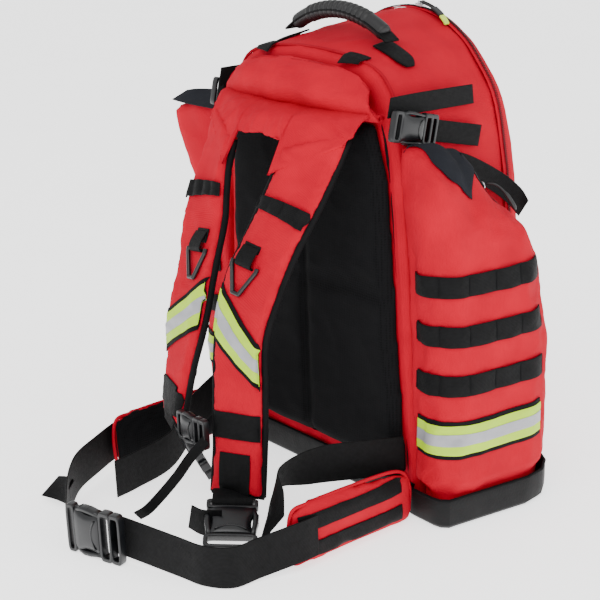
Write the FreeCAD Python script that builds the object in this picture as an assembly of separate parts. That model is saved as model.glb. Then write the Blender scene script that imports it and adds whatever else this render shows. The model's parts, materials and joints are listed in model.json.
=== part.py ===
"""Trauma backpack, standing on its base.

Millimetres, +Z up, origin on the floor under the middle of the base. The wearer's side (harness) faces -Y,
the clamshell lid faces +Y, and +X is to the right of someone who looks at the harness.
"""
import os
from math import cos, pi, radians, sin

import FreeCAD
import Part

V = FreeCAD.Vector

# ---- driving sizes -------------------------------------------------------------------------------------
BODY_TOP = 567.0            # highest point of the main compartment, at the zipper
HARNESS_DROP = 29.0         # how much lower the top is at the harness side
HALF_WIDTH = 185.0          # half the width of the main compartment at the floor
HARNESS_Y = -96.0           # harness face of the shell
ZIPPER_Y = 84.0             # plane of the main zipper, where the lid meets the shell
WALL = 4.0                  # padded fabric wall
CROWN_R = 135.0             # radius of the zipper arch at the top
BOOT_HEIGHT = 38.0          # coated base
BOOT_WALL = 2.0
LID_DEPTH = 30.0            # how far the lid stands out behind the zipper
POCKET_OUT = 67.0           # how far a side pocket stands out at its widest
WEB_NARROW = 25.0           # webbing widths
WEB_WIDE = 50.0
WEB_THICK = 1.6
TAPE_HEIGHT = 46.0          # reflective tape on its black backing
MOLLE_PITCH = 59.0          # from one webbing row to the next on the side pockets
MOLLE_ROWS = 3
MOLLE_TOP = 309.0
TAPE_TOP = 135.0
STRAP_WIDTH = 84.0          # padded shoulder strap
STRAP_TAPER = 16.0          # how much narrower it is at its lower end, taken off the inner edge
LEFT_STRAP_END = 0.90       # the left strap is pulled up shorter than the right one
STRAP_THICK = 13.0
PAD_THICK = 8.0             # rolled panel and yoke
YOKE_HALF = 129.0           # half width of the yoke where the straps leave it
YOKE_BELOW_TOP = 126.0      # yoke's lower edge, below the top of the body
WING_LENGTH = 178.0         # padded hip wing
WING_HEIGHT = 76.0
WING_THICK = 16.0
PANEL_THICK = 12.0          # padded back panel
HANDLE_HALF = 94.0          # half span of the carry handle
HANDLE_RISE = 33.0
GRIP_R = 10.5
RING_WIRE = 2.6             # radius of the triangular rings' bar
SHEET_THICK = 2.0           # stiffener behind the back panel
PIN_R = 0.9                 # pin of a zipper slider

SEAM = 0.5                  # gap between pieces that are sewn to each other
RUN = 0.4                   # running gap round a piece that moves


# ---- building blocks -----------------------------------------------------------------------------------
def save(name, shape):
    os.makedirs("parts", exist_ok=True)
    shape.exportStep(f"parts/{name}.step")


def mirrored(shape):
    return shape.mirror(V(0, 0, 0), V(1, 0, 0))


def save_pair(name, shape):
    save(name + "_right", shape)
    save(name + "_left", mirrored(shape))


def box(x0, x1, y0, y1, z0, z1):
    return Part.makeBox(x1 - x0, y1 - y0, z1 - z0, V(x0, y0, z0))


def polygon(points):
    return Part.makePolygon(list(points) + [points[0]])


def ruled(wires):
    return Part.makeLoft(wires, True, True)


def placed(shape, origin, ex, ey):
    """Moves a shape from local axes to the frame with x axis ex and y axis near ey."""
    ex = V(ex).normalize()
    ez = ex.cross(V(ey)).normalize()
    ey = ez.cross(ex)
    m = FreeCAD.Matrix(ex.x, ey.x, ez.x, origin.x, ex.y, ey.y, ez.y, origin.y,
                       ex.z, ey.z, ez.z, origin.z, 0, 0, 0, 1)
    moved = shape.copy()
    moved.Placement = FreeCAD.Placement(m).multiply(moved.Placement)
    return moved


def mix(a, b, t):
    return a + (b - a) * t


def between(table, t):
    """Value at t of a table of (t, value) rows, in straight lines."""
    for (t0, a), (t1, b) in zip(table, table[1:]):
        if t <= t1:
            return mix(a, b, (t - t0) / (t1 - t0))
    return table[-1][1]


def sheet_solid(front, back):
    """Closed solid between two grids of points of the same size, in flat triangles."""
    rows, columns = len(front), len(front[0])
    points = [p for grid in (front, back) for row in grid for p in row]

    def at(side, i, j):
        return side * rows * columns + i * columns + j

    quads = []
    for i in range(rows - 1):
        for j in range(columns - 1):
            quads.append((at(0, i, j), at(0, i + 1, j), at(0, i + 1, j + 1), at(0, i, j + 1)))
            quads.append((at(1, i, j), at(1, i, j + 1), at(1, i + 1, j + 1), at(1, i + 1, j)))
    for i in range(rows - 1):
        last = columns - 1
        quads.append((at(0, i, 0), at(1, i, 0), at(1, i + 1, 0), at(0, i + 1, 0)))
        quads.append((at(0, i, last), at(0, i + 1, last), at(1, i + 1, last), at(1, i, last)))
    for j in range(columns - 1):
        last = rows - 1
        quads.append((at(0, 0, j), at(0, 0, j + 1), at(1, 0, j + 1), at(1, 0, j)))
        quads.append((at(0, last, j), at(1, last, j), at(1, last, j + 1), at(0, last, j + 1)))
    triangles = [t for a, b, c, d in quads for t in ((a, b, c), (a, c, d))]
    shell = Part.Shape()
    shell.makeShapeFromMesh(([tuple(p) for p in points], triangles), 0.001)
    solid = Part.makeSolid(shell)
    if solid.Volume < 0:
        solid.reverse()
    return solid


def slab(surface, us, v_range, lift, thick, v_steps=1):
    """A flat piece lying on surface(u, v) -> (point, normal), lifted off it by lift."""
    front, back = [], []
    for u in us:
        v0, v1 = v_range(u)
        line = [surface(u, mix(v0, v1, k / v_steps)) for k in range(v_steps + 1)]
        front.append([p + n * (lift + thick) for p, n in line])
        back.append([p + n * lift for p, n in line])
    return sheet_solid(front, back)


def steps(a, b, count):
    return [mix(a, b, k / count) for k in range(count + 1)]


def curve_through(points):
    """Smooth curve through points, as a function of t from 0 at the first to 1 at the last."""
    points = [V(*p) for p in points]
    ends = [points[0] * 2 - points[1]] + points + [points[-1] * 2 - points[-2]]

    def at(t):
        k = min(int(t * (len(points) - 1)), len(points) - 2)
        s = t * (len(points) - 1) - k
        a, b, c, d = ends[k:k + 4]
        bend, twist = a * 2 - b * 5 + c * 4 - d, b * 3 - a - c * 3 + d
        return (b * 2 + (c - a) * s + bend * s ** 2 + twist * s ** 3) * 0.5
    return at


def ribbon(stations, width, thick=WEB_THICK, pieces_per_span=3):
    """Webbing along stations of (centre, width direction)."""
    centre = curve_through([c for c, w in stations])
    side = curve_through([V(*w).normalize() * 100 for c, w in stations])
    count = (len(stations) - 1) * pieces_per_span
    front, back = [], []
    for k in range(count + 1):
        t = k / count
        ahead = centre(min(1, t + 0.01)) - centre(max(0, t - 0.01))
        across = side(t).normalize()
        normal = across.cross(ahead).normalize()
        for grid, lift in ((front, thick / 2), (back, -thick / 2)):
            grid.append([centre(t) + across * (width * e / 2) + normal * lift for e in (-1, 1)])
    return sheet_solid(front, back)


# ---- main compartment ----------------------------------------------------------------------------------
HARNESS_ARCH = [(27, 124), (38, 62), (60, 22), (98, 6.5), (140, 1.5)]
crown_angles = [radians(a) for a in (53, 38, 20)]
ZIPPER_ARCH = [(29, 183), (46, 100)] + [
    (HALF_WIDTH - CROWN_R * sin(a), CROWN_R * (1 - cos(a))) for a in crown_angles]


def arch_share(y):
    return (y - HARNESS_Y) / (ZIPPER_Y - HARNESS_Y)


def arch_top(y):
    return BODY_TOP - HARNESS_DROP * (1 - sin(pi / 2 * max(0.0, min(1.0, arch_share(y)))))


def arch_points(y, inset):
    """Half outline at y, from the top of the straight side to the middle of the crown."""
    s = max(0.0, min(1.0, arch_share(y)))
    half = [(HALF_WIDTH - mix(a[0], b[0], s) - inset, arch_top(y) - mix(a[1], b[1], s) - inset)
            for a, b in zip(HARNESS_ARCH, ZIPPER_ARCH)]
    return half + [(0.0, arch_top(y) - inset)]


def side_x(y, z, inset=0.0):
    """Half width of the body at height z, on its straight side or its shoulder."""
    points = arch_points(y, inset)
    if z <= points[0][1]:
        return mix(HALF_WIDTH - inset, points[0][0], z / points[0][1])
    for (x0, z0), (x1, z1) in zip(points, points[1:]):
        if z <= z1:
            return mix(x0, x1, (z - z0) / (z1 - z0))
    return 0.0


def arch_curve(y, half):
    """The crown's smooth edge through a half outline, right to left."""
    crown = [V(x, y, z) for x, z in half] + [V(-x, y, z) for x, z in reversed(half[:-1])]
    curve = Part.BSplineCurve()
    curve.interpolate(crown)
    return curve


def closed_arch(y, half, bottom, foot):
    curve = arch_curve(y, half)
    right, left = V(foot, y, bottom), V(-foot, y, bottom)
    return Part.Wire([Part.makeLine(left, right), Part.makeLine(right, curve.StartPoint), curve.toShape(),
                      Part.makeLine(curve.EndPoint, left)])


def arch_wire(y, inset, bottom):
    return closed_arch(y, arch_points(y, inset), bottom, side_x(y, bottom, inset))


def arch_solid(rows, bottom):
    """Loft of the body's outline through rows of (y, inset)."""
    return ruled([arch_wire(y, inset, bottom) for y, inset in rows])


FLOOR_LIFT = BOOT_WALL + SEAM
SHELL_ROWS = [(HARNESS_Y, 10), (HARNESS_Y + 4, 3), (HARNESS_Y + 10, 0), (-40, 0), (20, 0), (ZIPPER_Y, 0)]


def outset_rows(extra):
    """The body's outline swollen by extra, and drawn out past the harness face."""
    return [(HARNESS_Y - 20, 10 - extra)] + [(y, i - extra) for y, i in SHELL_ROWS[1:-1]] + [
        (ZIPPER_Y + extra, -extra)]


def make_shell():
    outer = arch_solid(SHELL_ROWS, FLOOR_LIFT)
    rows = [(HARNESS_Y + WALL, 10 + WALL), (HARNESS_Y + 4 + WALL, 3 + WALL), (-40, WALL), (20, WALL),
            (ZIPPER_Y + 1, WALL)]
    return outer.cut(arch_solid(rows, FLOOR_LIFT + WALL))


LID_BOTTOM = BOOT_HEIGHT + 6
LID_START = ZIPPER_Y + SEAM
LID_ROWS = [(LID_START, 0), (LID_START + 0.4 * LID_DEPTH, 4), (LID_START + 0.8 * LID_DEPTH, 13),
            (LID_START + LID_DEPTH, 27)]


def lid_wire(y, inset):
    half = arch_points(ZIPPER_Y, inset)
    return closed_arch(y, half, LID_BOTTOM + inset * 0.6, side_x(ZIPPER_Y, LID_BOTTOM, inset))


def make_lid():
    outer = ruled([lid_wire(y, inset) for y, inset in LID_ROWS])
    inner = ruled([lid_wire(y - (1 if k == 0 else WALL * k / 3), inset + WALL)
                   for k, (y, inset) in enumerate(LID_ROWS)])
    return outer.cut(inner)


def make_zipper(y0, y1):
    """Coil tape round the arch, from just above the boot on one side to the other."""
    rows0, rows1 = [(y, -SEAM) for y in (y0, y1)], [(y, -SEAM - 1.6) for y in (y0, y1)]
    band = arch_solid(rows1, LID_BOTTOM).cut(arch_solid(rows0, LID_BOTTOM - 1))
    return band.cut(box(-300, 300, y0 - 1, y1 + 1, 0, LID_BOTTOM + 10))


def make_boot(footprint):
    """Coated base: a shallow tray round the body and both side pockets."""
    outer = footprint.makeOffset2D(SEAM + BOOT_WALL).extrude(V(0, 0, BOOT_HEIGHT))
    inner = footprint.makeOffset2D(SEAM).extrude(V(0, 0, BOOT_HEIGHT))
    inner.translate(V(0, 0, BOOT_WALL))
    return outer.cut(inner)


# ---- side pockets --------------------------------------------------------------------------------------
POCKET_FRONT = HARNESS_Y - 10
POCKET_X = HALF_WIDTH + POCKET_OUT
POCKET_LEVELS = [(FLOOR_LIFT, 0, 0), (200, 0, 0), (300, 4, 15), (350, 10, 24), (470, 34, 46)]
CAP_PROFILE = [(-130, 440), (-105, 428), (-60, 400), (-30, 389), (25, 357), (45, 320), (95, 230)]
CAP_ACROSS = -0.34          # fall of the pocket's top per mm outwards
CAP_REF_X = 200.0


def pocket_outline(z):
    """Plan of the right pocket at height z, from its harness corner round to its rear."""
    for (z0, in0, back0), (z1, in1, back1) in zip(POCKET_LEVELS, POCKET_LEVELS[1:]):
        if z <= z1:
            t = (z - z0) / (z1 - z0)
            inward, back = mix(in0, in1, t), mix(back0, back1, t)
            break
    f, x = POCKET_FRONT, POCKET_X - inward
    return [(120, f + 3), (POCKET_X - 38, f), (POCKET_X - 28, f + 2), (POCKET_X - 20 - inward / 3, f + 9),
            (x, 15), (x - 3, 42 - back), (x - 17, 63 - back), (x - 40, 78 - back), (120, 80 - back)]


def cap_height(x, y):
    return between(CAP_PROFILE, y) + CAP_ACROSS * (x - CAP_REF_X)


def make_pocket(shell_outset):
    body = ruled([polygon([V(x, y, z) for x, y in pocket_outline(z)]) for z, _, _ in POCKET_LEVELS])
    above = ruled([polygon([V(x, y, cap_height(x, y)) for y, _ in CAP_PROFILE]
                           + [V(x, 95, 600), V(x, -130, 600)])
                   for x in (100, 300)])
    zipper_room = arch_solid([(ZIPPER_Y - 13, -3.2), (ZIPPER_Y + 5, -3.2)], -1)
    return body.cut(above).cut(shell_outset).cut(zipper_room)


def pocket_band(top, height, lift, thick):
    """A row of webbing or tape round the pocket's face, mitred at its corners."""
    rings = []
    for z in (top - height, top):
        face = Part.Face(polygon([V(x, y, z) for x, y in pocket_outline(z)]))
        rings.append([face.makeOffset2D(d).OuterWire for d in (lift, lift + thick)])
    inner, outer = (ruled([rings[0][k], rings[1][k]]) for k in (0, 1))
    keep = box(POCKET_X - 38 - 30, 400, POCKET_FRONT - 20, 24, 0, 600)
    return outer.cut(inner).common(keep)


def cap_surface(x, y):
    p, dy = V(x, y, cap_height(x, y)), 0.5
    slope_y = (cap_height(x, y + dy) - cap_height(x, y - dy)) / (2 * dy)
    return p, V(-CAP_ACROSS, -slope_y, 1).normalize()


def make_collar():
    """Black gusset over the harness half of the pocket's top: a triangle that narrows outwards."""
    def reach(x):
        near = POCKET_FRONT + 6 + 30 * max(0.0, (x - 200) / 30)
        return near, max(near + 2, -52)
    xs = [side_x(HARNESS_Y + 10, 430) + 6, 180, 200, 215, 226]
    return slab(cap_surface, xs, reach, SEAM, 1.5, 4)


POCKET_ZIP = [V(CAP_REF_X, -28, 0), V(CAP_REF_X, 23, 0)]
for p in POCKET_ZIP:
    p.z = cap_height(p.x, p.y)


def make_pocket_zip():
    ends = POCKET_ZIP[0].y, POCKET_ZIP[1].y
    return slab(cap_surface, [CAP_REF_X - 9, CAP_REF_X + 9], lambda x: ends, SEAM, 1.6)


# ---- harness -------------------------------------------------------------------------------------------
PANEL_BACK = HARNESS_Y - SEAM
PANEL_FACE = PANEL_BACK - PANEL_THICK
YOKE_LOW = BODY_TOP - YOKE_BELOW_TOP
FOLD_Z = BODY_TOP - 74         # fold between the rolled panel and the yoke
SHOE_Z = 50.0               # height of the strap's lower end

# share of the way down, centre x, centre y, width direction
STRAP_LINE = [(0.00, 83, -153, (0.87, 0.43, 0.22)), (0.09, 79, -172, (0.91, 0.37, 0.16)),
              (0.18, 73, -191, (0.97, 0.20, 0.02)), (0.27, 64, -209, (0.99, 0.06, -0.10)),
              (0.40, 53, -232, (0.98, 0.12, -0.13)), (0.54, 48, -251, (0.99, 0.13, 0.00)),
              (0.68, 52, -262, (0.96, 0.26, 0.05)), (0.84, 56, -272, (0.93, 0.35, 0.05)),
              (1.00, 60, -283, (0.91, 0.41, 0.05))]
strap_centre = curve_through([(x, y, mix(YOKE_LOW + 10, SHOE_Z, f)) for f, x, y, w in STRAP_LINE])
strap_side = curve_through([V(*w).normalize() * 100 for f, x, y, w in STRAP_LINE])


def strap_share(z):
    """Curve parameter of the strap at height z of its middle."""
    low, high = 0.0, 1.0
    for _ in range(30):
        middle = (low + high) / 2
        if strap_centre(middle).z > z:
            low = middle
        else:
            high = middle
    return (low + high) / 2


def strap_frame(t):
    ahead = (strap_centre(min(1, t + 0.01)) - strap_centre(max(0, t - 0.01))).normalize()
    across = strap_side(t).normalize()
    return strap_centre(t), across, ahead.cross(across).normalize()


def strap_surface(u, v):
    """u from -1 at the inner edge to 1 at the outer, v is the curve parameter."""
    centre, across, outward = strap_frame(v)
    taper = STRAP_TAPER * max(0.0, min(1.0, (v - 0.5) / 0.4))
    reach = u * (STRAP_WIDTH - taper) / 2 + taper / 2
    return centre + across * reach + outward * (STRAP_THICK / 2), outward


def make_strap(end):
    """The padded strap, from the yoke down to the curve parameter end."""
    return slab(strap_surface, [-1, 0, 1], lambda u: (0, end), -STRAP_THICK, STRAP_THICK, 28)


def strap_band(z, height, slope, thick=WEB_THICK, reach=1.02):
    """Band across the strap's face at height z, dropping by slope from its middle to the outer edge."""
    t = strap_share(z)
    length = (strap_centre(0) - strap_centre(1)).Length
    half = height / 2 / length

    def span(u):
        return t - half + u * slope / length, t + half + u * slope / length
    return slab(strap_surface, [-reach, -reach / 2, 0, reach / 2, reach], span, SEAM + 0.3, thick, 4)


def flap_surface(u, v):
    """Rolled panel between the crown seam, v = 0, and the yoke's fold, v = 1."""
    middle = 1 - abs(u) ** 3
    top_y, low_y = HARNESS_Y - SEAM - PAD_THICK, HARNESS_Y - SEAM - PAD_THICK - 4 - 14 * middle
    x = u * mix(118, YOKE_HALF + 9, v)
    bulge = 6 * sin(pi * v) * middle
    z = mix(arch_top(HARNESS_Y) - 12 - 22 * u * u * u * u, FOLD_Z + 2.5, v)
    return V(x, mix(top_y, low_y, v) - bulge, z), V(0, -1, 0)


def make_flap():
    return slab(flap_surface, steps(-1, 1, 12), lambda u: (0.0, 1.0), -PAD_THICK, PAD_THICK, 6)


def yoke_surface(u, v):
    """u from -1 to 1 across, v from 0 at the fold to 1 at the lower edge."""
    x = u * YOKE_HALF
    edge = [(0.0, -172, 6), (0.29, -174, 2), (1.0, -131, 28)]
    low_y = between([(a, y) for a, y, _ in edge], abs(u))
    low_z = YOKE_LOW + between([(a, z) for a, _, z in edge], abs(u))
    top_y, top_z = flap_surface(u, 1.0)[0].y, FOLD_Z - SEAM
    bulge = 9 * sin(pi * v) * (1 - u * u)
    across = V(1, 0, 0)
    down = V(0, low_y - top_y, low_z - top_z)
    p = V(x, mix(top_y, low_y, v) - bulge, mix(top_z, low_z, v) + bulge)
    return p, across.cross(down).normalize()


def make_yoke():
    return slab(yoke_surface, steps(-1, 1, 12), lambda u: (0.0, 0.96), -PAD_THICK, PAD_THICK, 5)


def make_back_panel():
    wires = [arch_wire_flat(y, inset) for y, inset in
             ((PANEL_BACK, 13), (PANEL_BACK - 5, 12), (PANEL_BACK - 10, 16), (PANEL_FACE, 28))]
    return ruled(wires)


def arch_wire_flat(y, inset):
    """Outline of the padded back panel: the harness outline cut off level under the yoke's fold."""
    top = BODY_TOP - 84 - inset
    low = BOOT_HEIGHT + 4 + inset / 2
    xs = [side_x(HARNESS_Y, z, inset) for z in (low, top - 60, top)]
    right = [V(xs[0], y, low), V(xs[1], y, top - 60), V(xs[2] - 6, y, top)]
    return polygon(right + [V(-p.x, p.y, p.z) for p in reversed(right)])


def make_wing():
    """Padded hip wing standing on its edge, its far end narrower."""
    x, y0, y1 = HALF_WIDTH - 5, POCKET_FRONT - 6, POCKET_FRONT - 6 - WING_LENGTH
    rows = [(y0, 3, WING_HEIGHT * 0.75, 0.7), (y0 - 20, 1, WING_HEIGHT * 0.86, 1),
            ((y0 + y1) / 2, 0, WING_HEIGHT, 1), (y1 + 25, 0, WING_HEIGHT, 1), (y1, 8, WING_HEIGHT - 8, 0.6)]
    section = [(-0.5, 0), (0.5, 0), (1, 0.15), (1, 0.85), (0.5, 1), (-0.5, 1), (-1, 0.85), (-1, 0.15)]
    wires = []
    for y, low, high, fat in rows:
        h = WING_THICK / 2 * fat
        lean = 4 * (y0 - y) / WING_LENGTH
        wires.append(polygon([V(x - lean + a * h, y, mix(low, high, b)) for a, b in section]))
    return ruled(wires)


def wing_band(z):
    """Webbing sewn along the wing's outer face."""
    x, y0, y1 = HALF_WIDTH - 5 + WING_THICK / 2, POCKET_FRONT - 26, POCKET_FRONT - 6 - WING_LENGTH + 24

    def face(y, z_mid):
        return V(x - 4 * (POCKET_FRONT - 6 - y) / WING_LENGTH, y, z_mid), V(1, 0, 0)
    return slab(face, [y0, (y0 + y1) / 2, y1], lambda y: (z, z + WEB_NARROW - 1), SEAM, WEB_THICK)


# ---- hardware ------------------------------------------------------------------------------------------
def buckle_sizes(web):
    """Sizes of a side-release buckle for a webbing width."""
    return {"width": web + 12, "thick": 8 + web * 0.12, "socket": 16 + web * 0.64, "tail": 14 + web * 0.34,
            "bar": 4.0, "slot": 5.0, "skin": 2.0}


def make_socket(web):
    """Female half: lies from x=0 (webbing bar) to its mouth, centred on y and z."""
    b = buckle_sizes(web)
    w, t, length, skin = b["width"] / 2, b["thick"] / 2, b["socket"], b["skin"]
    waist = w - 0.06 * web
    outline = [(0, -w + 4), (3, -w + 1), (b["bar"] + b["slot"] + 3, -w + 1), (length * 0.6, -waist),
               (length, -w), (length, w), (length * 0.6, waist), (b["bar"] + b["slot"] + 3, w - 1),
               (3, w - 1),
               (0, w - 4)]
    body = Part.Face(polygon([V(x, y, -t) for x, y in outline])).extrude(V(0, 0, 2 * t))
    slot = box(b["bar"], b["bar"] + b["slot"], -web / 2 - 1, web / 2 + 1, -t - 1, t + 1)
    start = b["bar"] + b["slot"] + 3
    cavity = box(start, length + 1, -w + skin + 3, w - skin - 3, -t + skin, t - skin)
    window = [box(start + 2, length * 0.8, s * w - 6, s * w + 6, -t + skin, t - skin) for s in (-1, 1)]
    body = body.cut(slot).cut(cavity).cut(window[0]).cut(window[1])
    lip = box(length * 0.86, length + 1, -w * 0.45, w * 0.45, t - skin - 1, t + 1)
    return body.cut(lip)


def make_plug(web):
    """Male half in the same axes: two prongs and a guide in the socket, and a ladder-lock frame outside."""
    b = buckle_sizes(web)
    w, t, length, skin = b["width"] / 2, b["thick"] / 2, b["socket"], b["skin"]
    start, inner = b["bar"] + b["slot"] + 3 + 2 * RUN, w - skin - 3 - RUN
    core = t - skin - RUN
    end = length + RUN + b["tail"]
    frame = box(length + RUN, end, -w, w, -t, t)
    for k in (0, 1):
        x0 = length + RUN + 4 + k * (b["tail"] - 4) / 2
        frame = frame.cut(box(x0, x0 + (b["tail"] - 4) / 2 - 3, -web / 2 - 1, web / 2 + 1, -t - 1, t + 1))
    pieces = [box(length - 4, length + RUN + 1, -inner, inner, -core, core)]
    for s in (-1, 1):
        prong = [(start + 3, s * (inner - 1)), (start, s * (inner - 5)), (start + 3, s * (inner - 7)),
                 (length, s * (inner - 6)), (length, s * inner)]
        pieces.append(Part.Face(polygon([V(x, y, -core) for x, y in prong])).extrude(V(0, 0, 2 * core)))
    pieces.append(box(start + 6, length, -2.5, 2.5, -core, core))
    return frame.multiFuse(pieces).removeSplitter()


def buckle_length(web):
    b = buckle_sizes(web)
    return b["socket"] + RUN + b["tail"]


def make_ring():
    """Triangular ring in local axes: top bar along x at the origin, apex hanging towards -y."""
    half, drop = WEB_NARROW / 2 + 7, 36
    right = [V(half, 0, 0), V(half, -5, 0), V(5, -drop, 0)]
    corners = right + [V(-p.x, p.y, 0) for p in reversed(right)]
    bars = []
    for a, b in zip(corners, corners[1:] + corners[:1]):
        bars.append(Part.makeCylinder(RING_WIRE, (b - a).Length, a, b - a))
        bars.append(Part.makeSphere(RING_WIRE, a))
    return bars[0].multiFuse(bars[1:])


def make_tab():
    """Folded webbing tab that holds the ring: a loop round its top bar and a flat leg up the strap."""
    r = RING_WIRE + RUN
    loop = Part.makeCylinder(r + WEB_THICK, WEB_NARROW, V(-WEB_NARROW / 2, 0, 0), V(1, 0, 0))
    leg = box(-WEB_NARROW / 2, WEB_NARROW / 2, 0, 24, -r - WEB_THICK, -r + 1.0)
    hole = Part.makeCylinder(r, WEB_NARROW + 2, V(-WEB_NARROW / 2 - 1, 0, 0), V(1, 0, 0))
    return loop.fuse(leg).cut(hole)


HANDLE_Y = -43.0
HANDLE_Z = arch_top(HANDLE_Y) - 6


def handle_arc(profile, span, radius, centre):
    """Revolves a profile, standing at the top of the handle's arc, through +-span degrees."""
    face = Part.Face(profile)
    face.rotate(centre, V(0, 1, 0), -span)
    return face.revolve(centre, V(0, 1, 0), 2 * span)


def make_handle():
    radius = (HANDLE_HALF ** 2 + HANDLE_RISE ** 2) / (2 * HANDLE_RISE)
    centre = V(0, HANDLE_Y, HANDLE_Z + HANDLE_RISE - radius)
    top = V(0, HANDLE_Y, centre.z + radius)
    span = 180 / pi * HANDLE_HALF / radius * 1.05

    def ring(extra):
        circle = Part.Circle(top, V(1, 0, 0), GRIP_R + extra)
        return Part.Wire(circle.toShape())
    core_half, core_thick = WEB_NARROW / 2 - 3, WEB_THICK / 2 + 0.6
    grip = handle_arc(ring(-1.2), span * 0.82, radius, centre)
    ribs = []
    rib_count = 13
    for k in range(rib_count):
        rib = handle_arc(ring(0), 1.1, radius, centre)
        rib.rotate(centre, V(0, 1, 0), span * 0.55 * (2 * k / (rib_count - 1) - 1))
        ribs.append(rib)
    grip = grip.multiFuse(ribs)

    def flat(half, thick):
        return polygon([V(0, top.y - half, top.z - thick), V(0, top.y + half, top.z - thick),
                        V(0, top.y + half, top.z + thick), V(0, top.y - half, top.z + thick)])
    core = handle_arc(flat(GRIP_R - 4, core_thick), span * 0.97, radius, centre)
    return grip.cut(handle_arc(flat(GRIP_R - 4 + 0.2, core_thick + 0.2), span * 0.97, radius, centre)), core


def crown_height(x, y):
    edge = arch_curve(y, arch_points(y, 0)).discretize(120)
    return between([(p.x, p.z) for p in reversed(edge)], x)


def crown_surface(x, y):
    """Point and upward normal on the top of the body."""
    y = max(y, HARNESS_Y + 10)
    slope_x = (crown_height(x + 1, y) - crown_height(x - 1, y)) / 2
    slope_y = (crown_height(x, y + 1) - crown_height(x, y - 1)) / 2
    return V(x, y, crown_height(x, y)), V(-slope_x, -slope_y, 1).normalize()


def make_patch(side):
    """Webbing patch on the crown's harness seam."""
    xs = sorted(side * x for x in (64, 77, 90))
    return slab(crown_surface, xs, lambda x: (HARNESS_Y + 10, HARNESS_Y + 24), SEAM + 0.3, WEB_THICK, 2)


def make_pad(x):
    """Sewn pad that anchors one end of the carry handle."""
    ends = HANDLE_Y - 15, HANDLE_Y + 15
    return slab(crown_surface, [x - 14, x, x + 14], lambda u: ends, SEAM + 0.3, WEB_THICK, 2)


def make_slider(tall):
    """Zipper slider in local axes: x along the coil, z out of the tape, a pin along y at height tall."""
    body = box(-6.5, 6.5, -4.5, 4.5, 0, 2.6)
    legs = [box(-1.8, 1.8, s * 3.8 - 0.8, s * 3.8 + 0.8, 2.4, tall + 1.6) for s in (-1, 1)]
    pin = Part.makeCylinder(PIN_R, 7.6, V(0, -3.8, tall), V(0, 1, 0))
    return body.multiFuse(legs + [pin])


def make_pull(length, width):
    """Pull in local axes: an eye round the slider's pin at the origin and a tab towards +x."""
    eye = Part.makeCylinder(PIN_R + RUN + 0.9, 5, V(0, -2.5, 0), V(0, 1, 0))
    neck = box(0, 7, -2.2, 2.2, -0.7, 0.7)
    tab = box(6, length, -width / 2, width / 2, -0.9, 0.9)
    return eye.multiFuse([neck, tab]).cut(Part.makeCylinder(PIN_R + RUN, 6, V(0, -3, 0), V(0, 1, 0)))


# ---- assembly ------------------------------------------------------------------------------------------
shell = make_shell()
lid = make_lid()
shell_outset = arch_solid(outset_rows(SEAM), -1)
pocket = make_pocket(shell_outset)

base_y0, base_y1 = HARNESS_Y, ZIPPER_Y
pocket_foot = [V(x, min(y, base_y1), 0) for x, y in pocket_outline(FLOOR_LIFT)]
inner_x = HALF_WIDTH - 11
right_side = ([V(inner_x, base_y0, 0), V(inner_x, POCKET_FRONT + 1, 0)] + pocket_foot[1:-1]
              + [V(HALF_WIDTH + 3, base_y1, 0)])
footprint = Part.Face(polygon(right_side + [V(-p.x, p.y, 0) for p in reversed(right_side)]))
boot = make_boot(footprint)

save("main_shell", shell)
save("lid_panel", lid)
save("base_boot", boot)
save_pair("side_pocket", pocket)
save("main_zipper", make_zipper(ZIPPER_Y - 12, ZIPPER_Y - 1))
sheet_half, sheet_y = HALF_WIDTH - 50, HARNESS_Y + 2 * WALL + SEAM
save("frame_sheet", box(-sheet_half, sheet_half, sheet_y, sheet_y + SHEET_THICK,
                        FLOOR_LIFT + WALL + SEAM, BODY_TOP - HARNESS_DROP - 80))

rows = [pocket_band(MOLLE_TOP - k * MOLLE_PITCH, WEB_NARROW, SEAM, WEB_THICK) for k in range(MOLLE_ROWS)]
save_pair("pocket_webbing", Part.makeCompound(rows))
save_pair("pocket_reflective", pocket_band(TAPE_TOP, TAPE_HEIGHT, SEAM, 1.0))
save_pair("pocket_collar", make_collar())
save("pocket_zippers", Part.makeCompound([make_pocket_zip(), mirrored(make_pocket_zip())]))

front = LID_START + LID_DEPTH
pocket_rows = [(front + SEAM, 0), (front + 12, 0), (front + 20, 8)]
pocket_corners = ((-1, -1), (1, -1), (1, 1), (-1, 1))
front_pocket = ruled([polygon([V(a * (104 - i), y, 185 + b * (115 - i)) for a, b in pocket_corners])
                      for y, i in pocket_rows])
save("front_pocket", front_pocket)
front_face = front + 20 + SEAM
save("front_webbing", Part.makeCompound([box(-92, 92, front_face, front_face + WEB_THICK, z, z + WEB_NARROW)
                                         for z in (190, 240)]))
save("front_reflective", box(-92, 92, front_face, front_face + 1.0, 110, 110 + TAPE_HEIGHT))

save("back_panel", make_back_panel())
save("yoke", make_yoke())
save("crown_flap", make_flap())
save("shoulder_strap_right", make_strap(1.0))
save("shoulder_strap_left", mirrored(make_strap(LEFT_STRAP_END)))
save_pair("strap_reflective", strap_band(230, TAPE_HEIGHT + 6, 26, 1.0))


def strap_local(z, u, lift):
    """A place on the strap's face: origin, direction across the strap, direction up it."""
    t = strap_share(z)
    centre, across, outward = strap_frame(t)
    origin = centre + across * (u * STRAP_WIDTH / 2) + outward * (STRAP_THICK / 2 + lift)
    return origin, across, outward.cross(across)


RING_Z, RING_U = 311.0, -0.30
ring_lift = RING_WIRE + RUN + WEB_THICK + 1.2
ring_at, ring_x, ring_up = strap_local(RING_Z, RING_U, ring_lift)
tab = placed(make_tab(), ring_at, ring_x, ring_up)
save_pair("triangle_ring", placed(make_ring(), ring_at, ring_x, ring_up))


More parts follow.
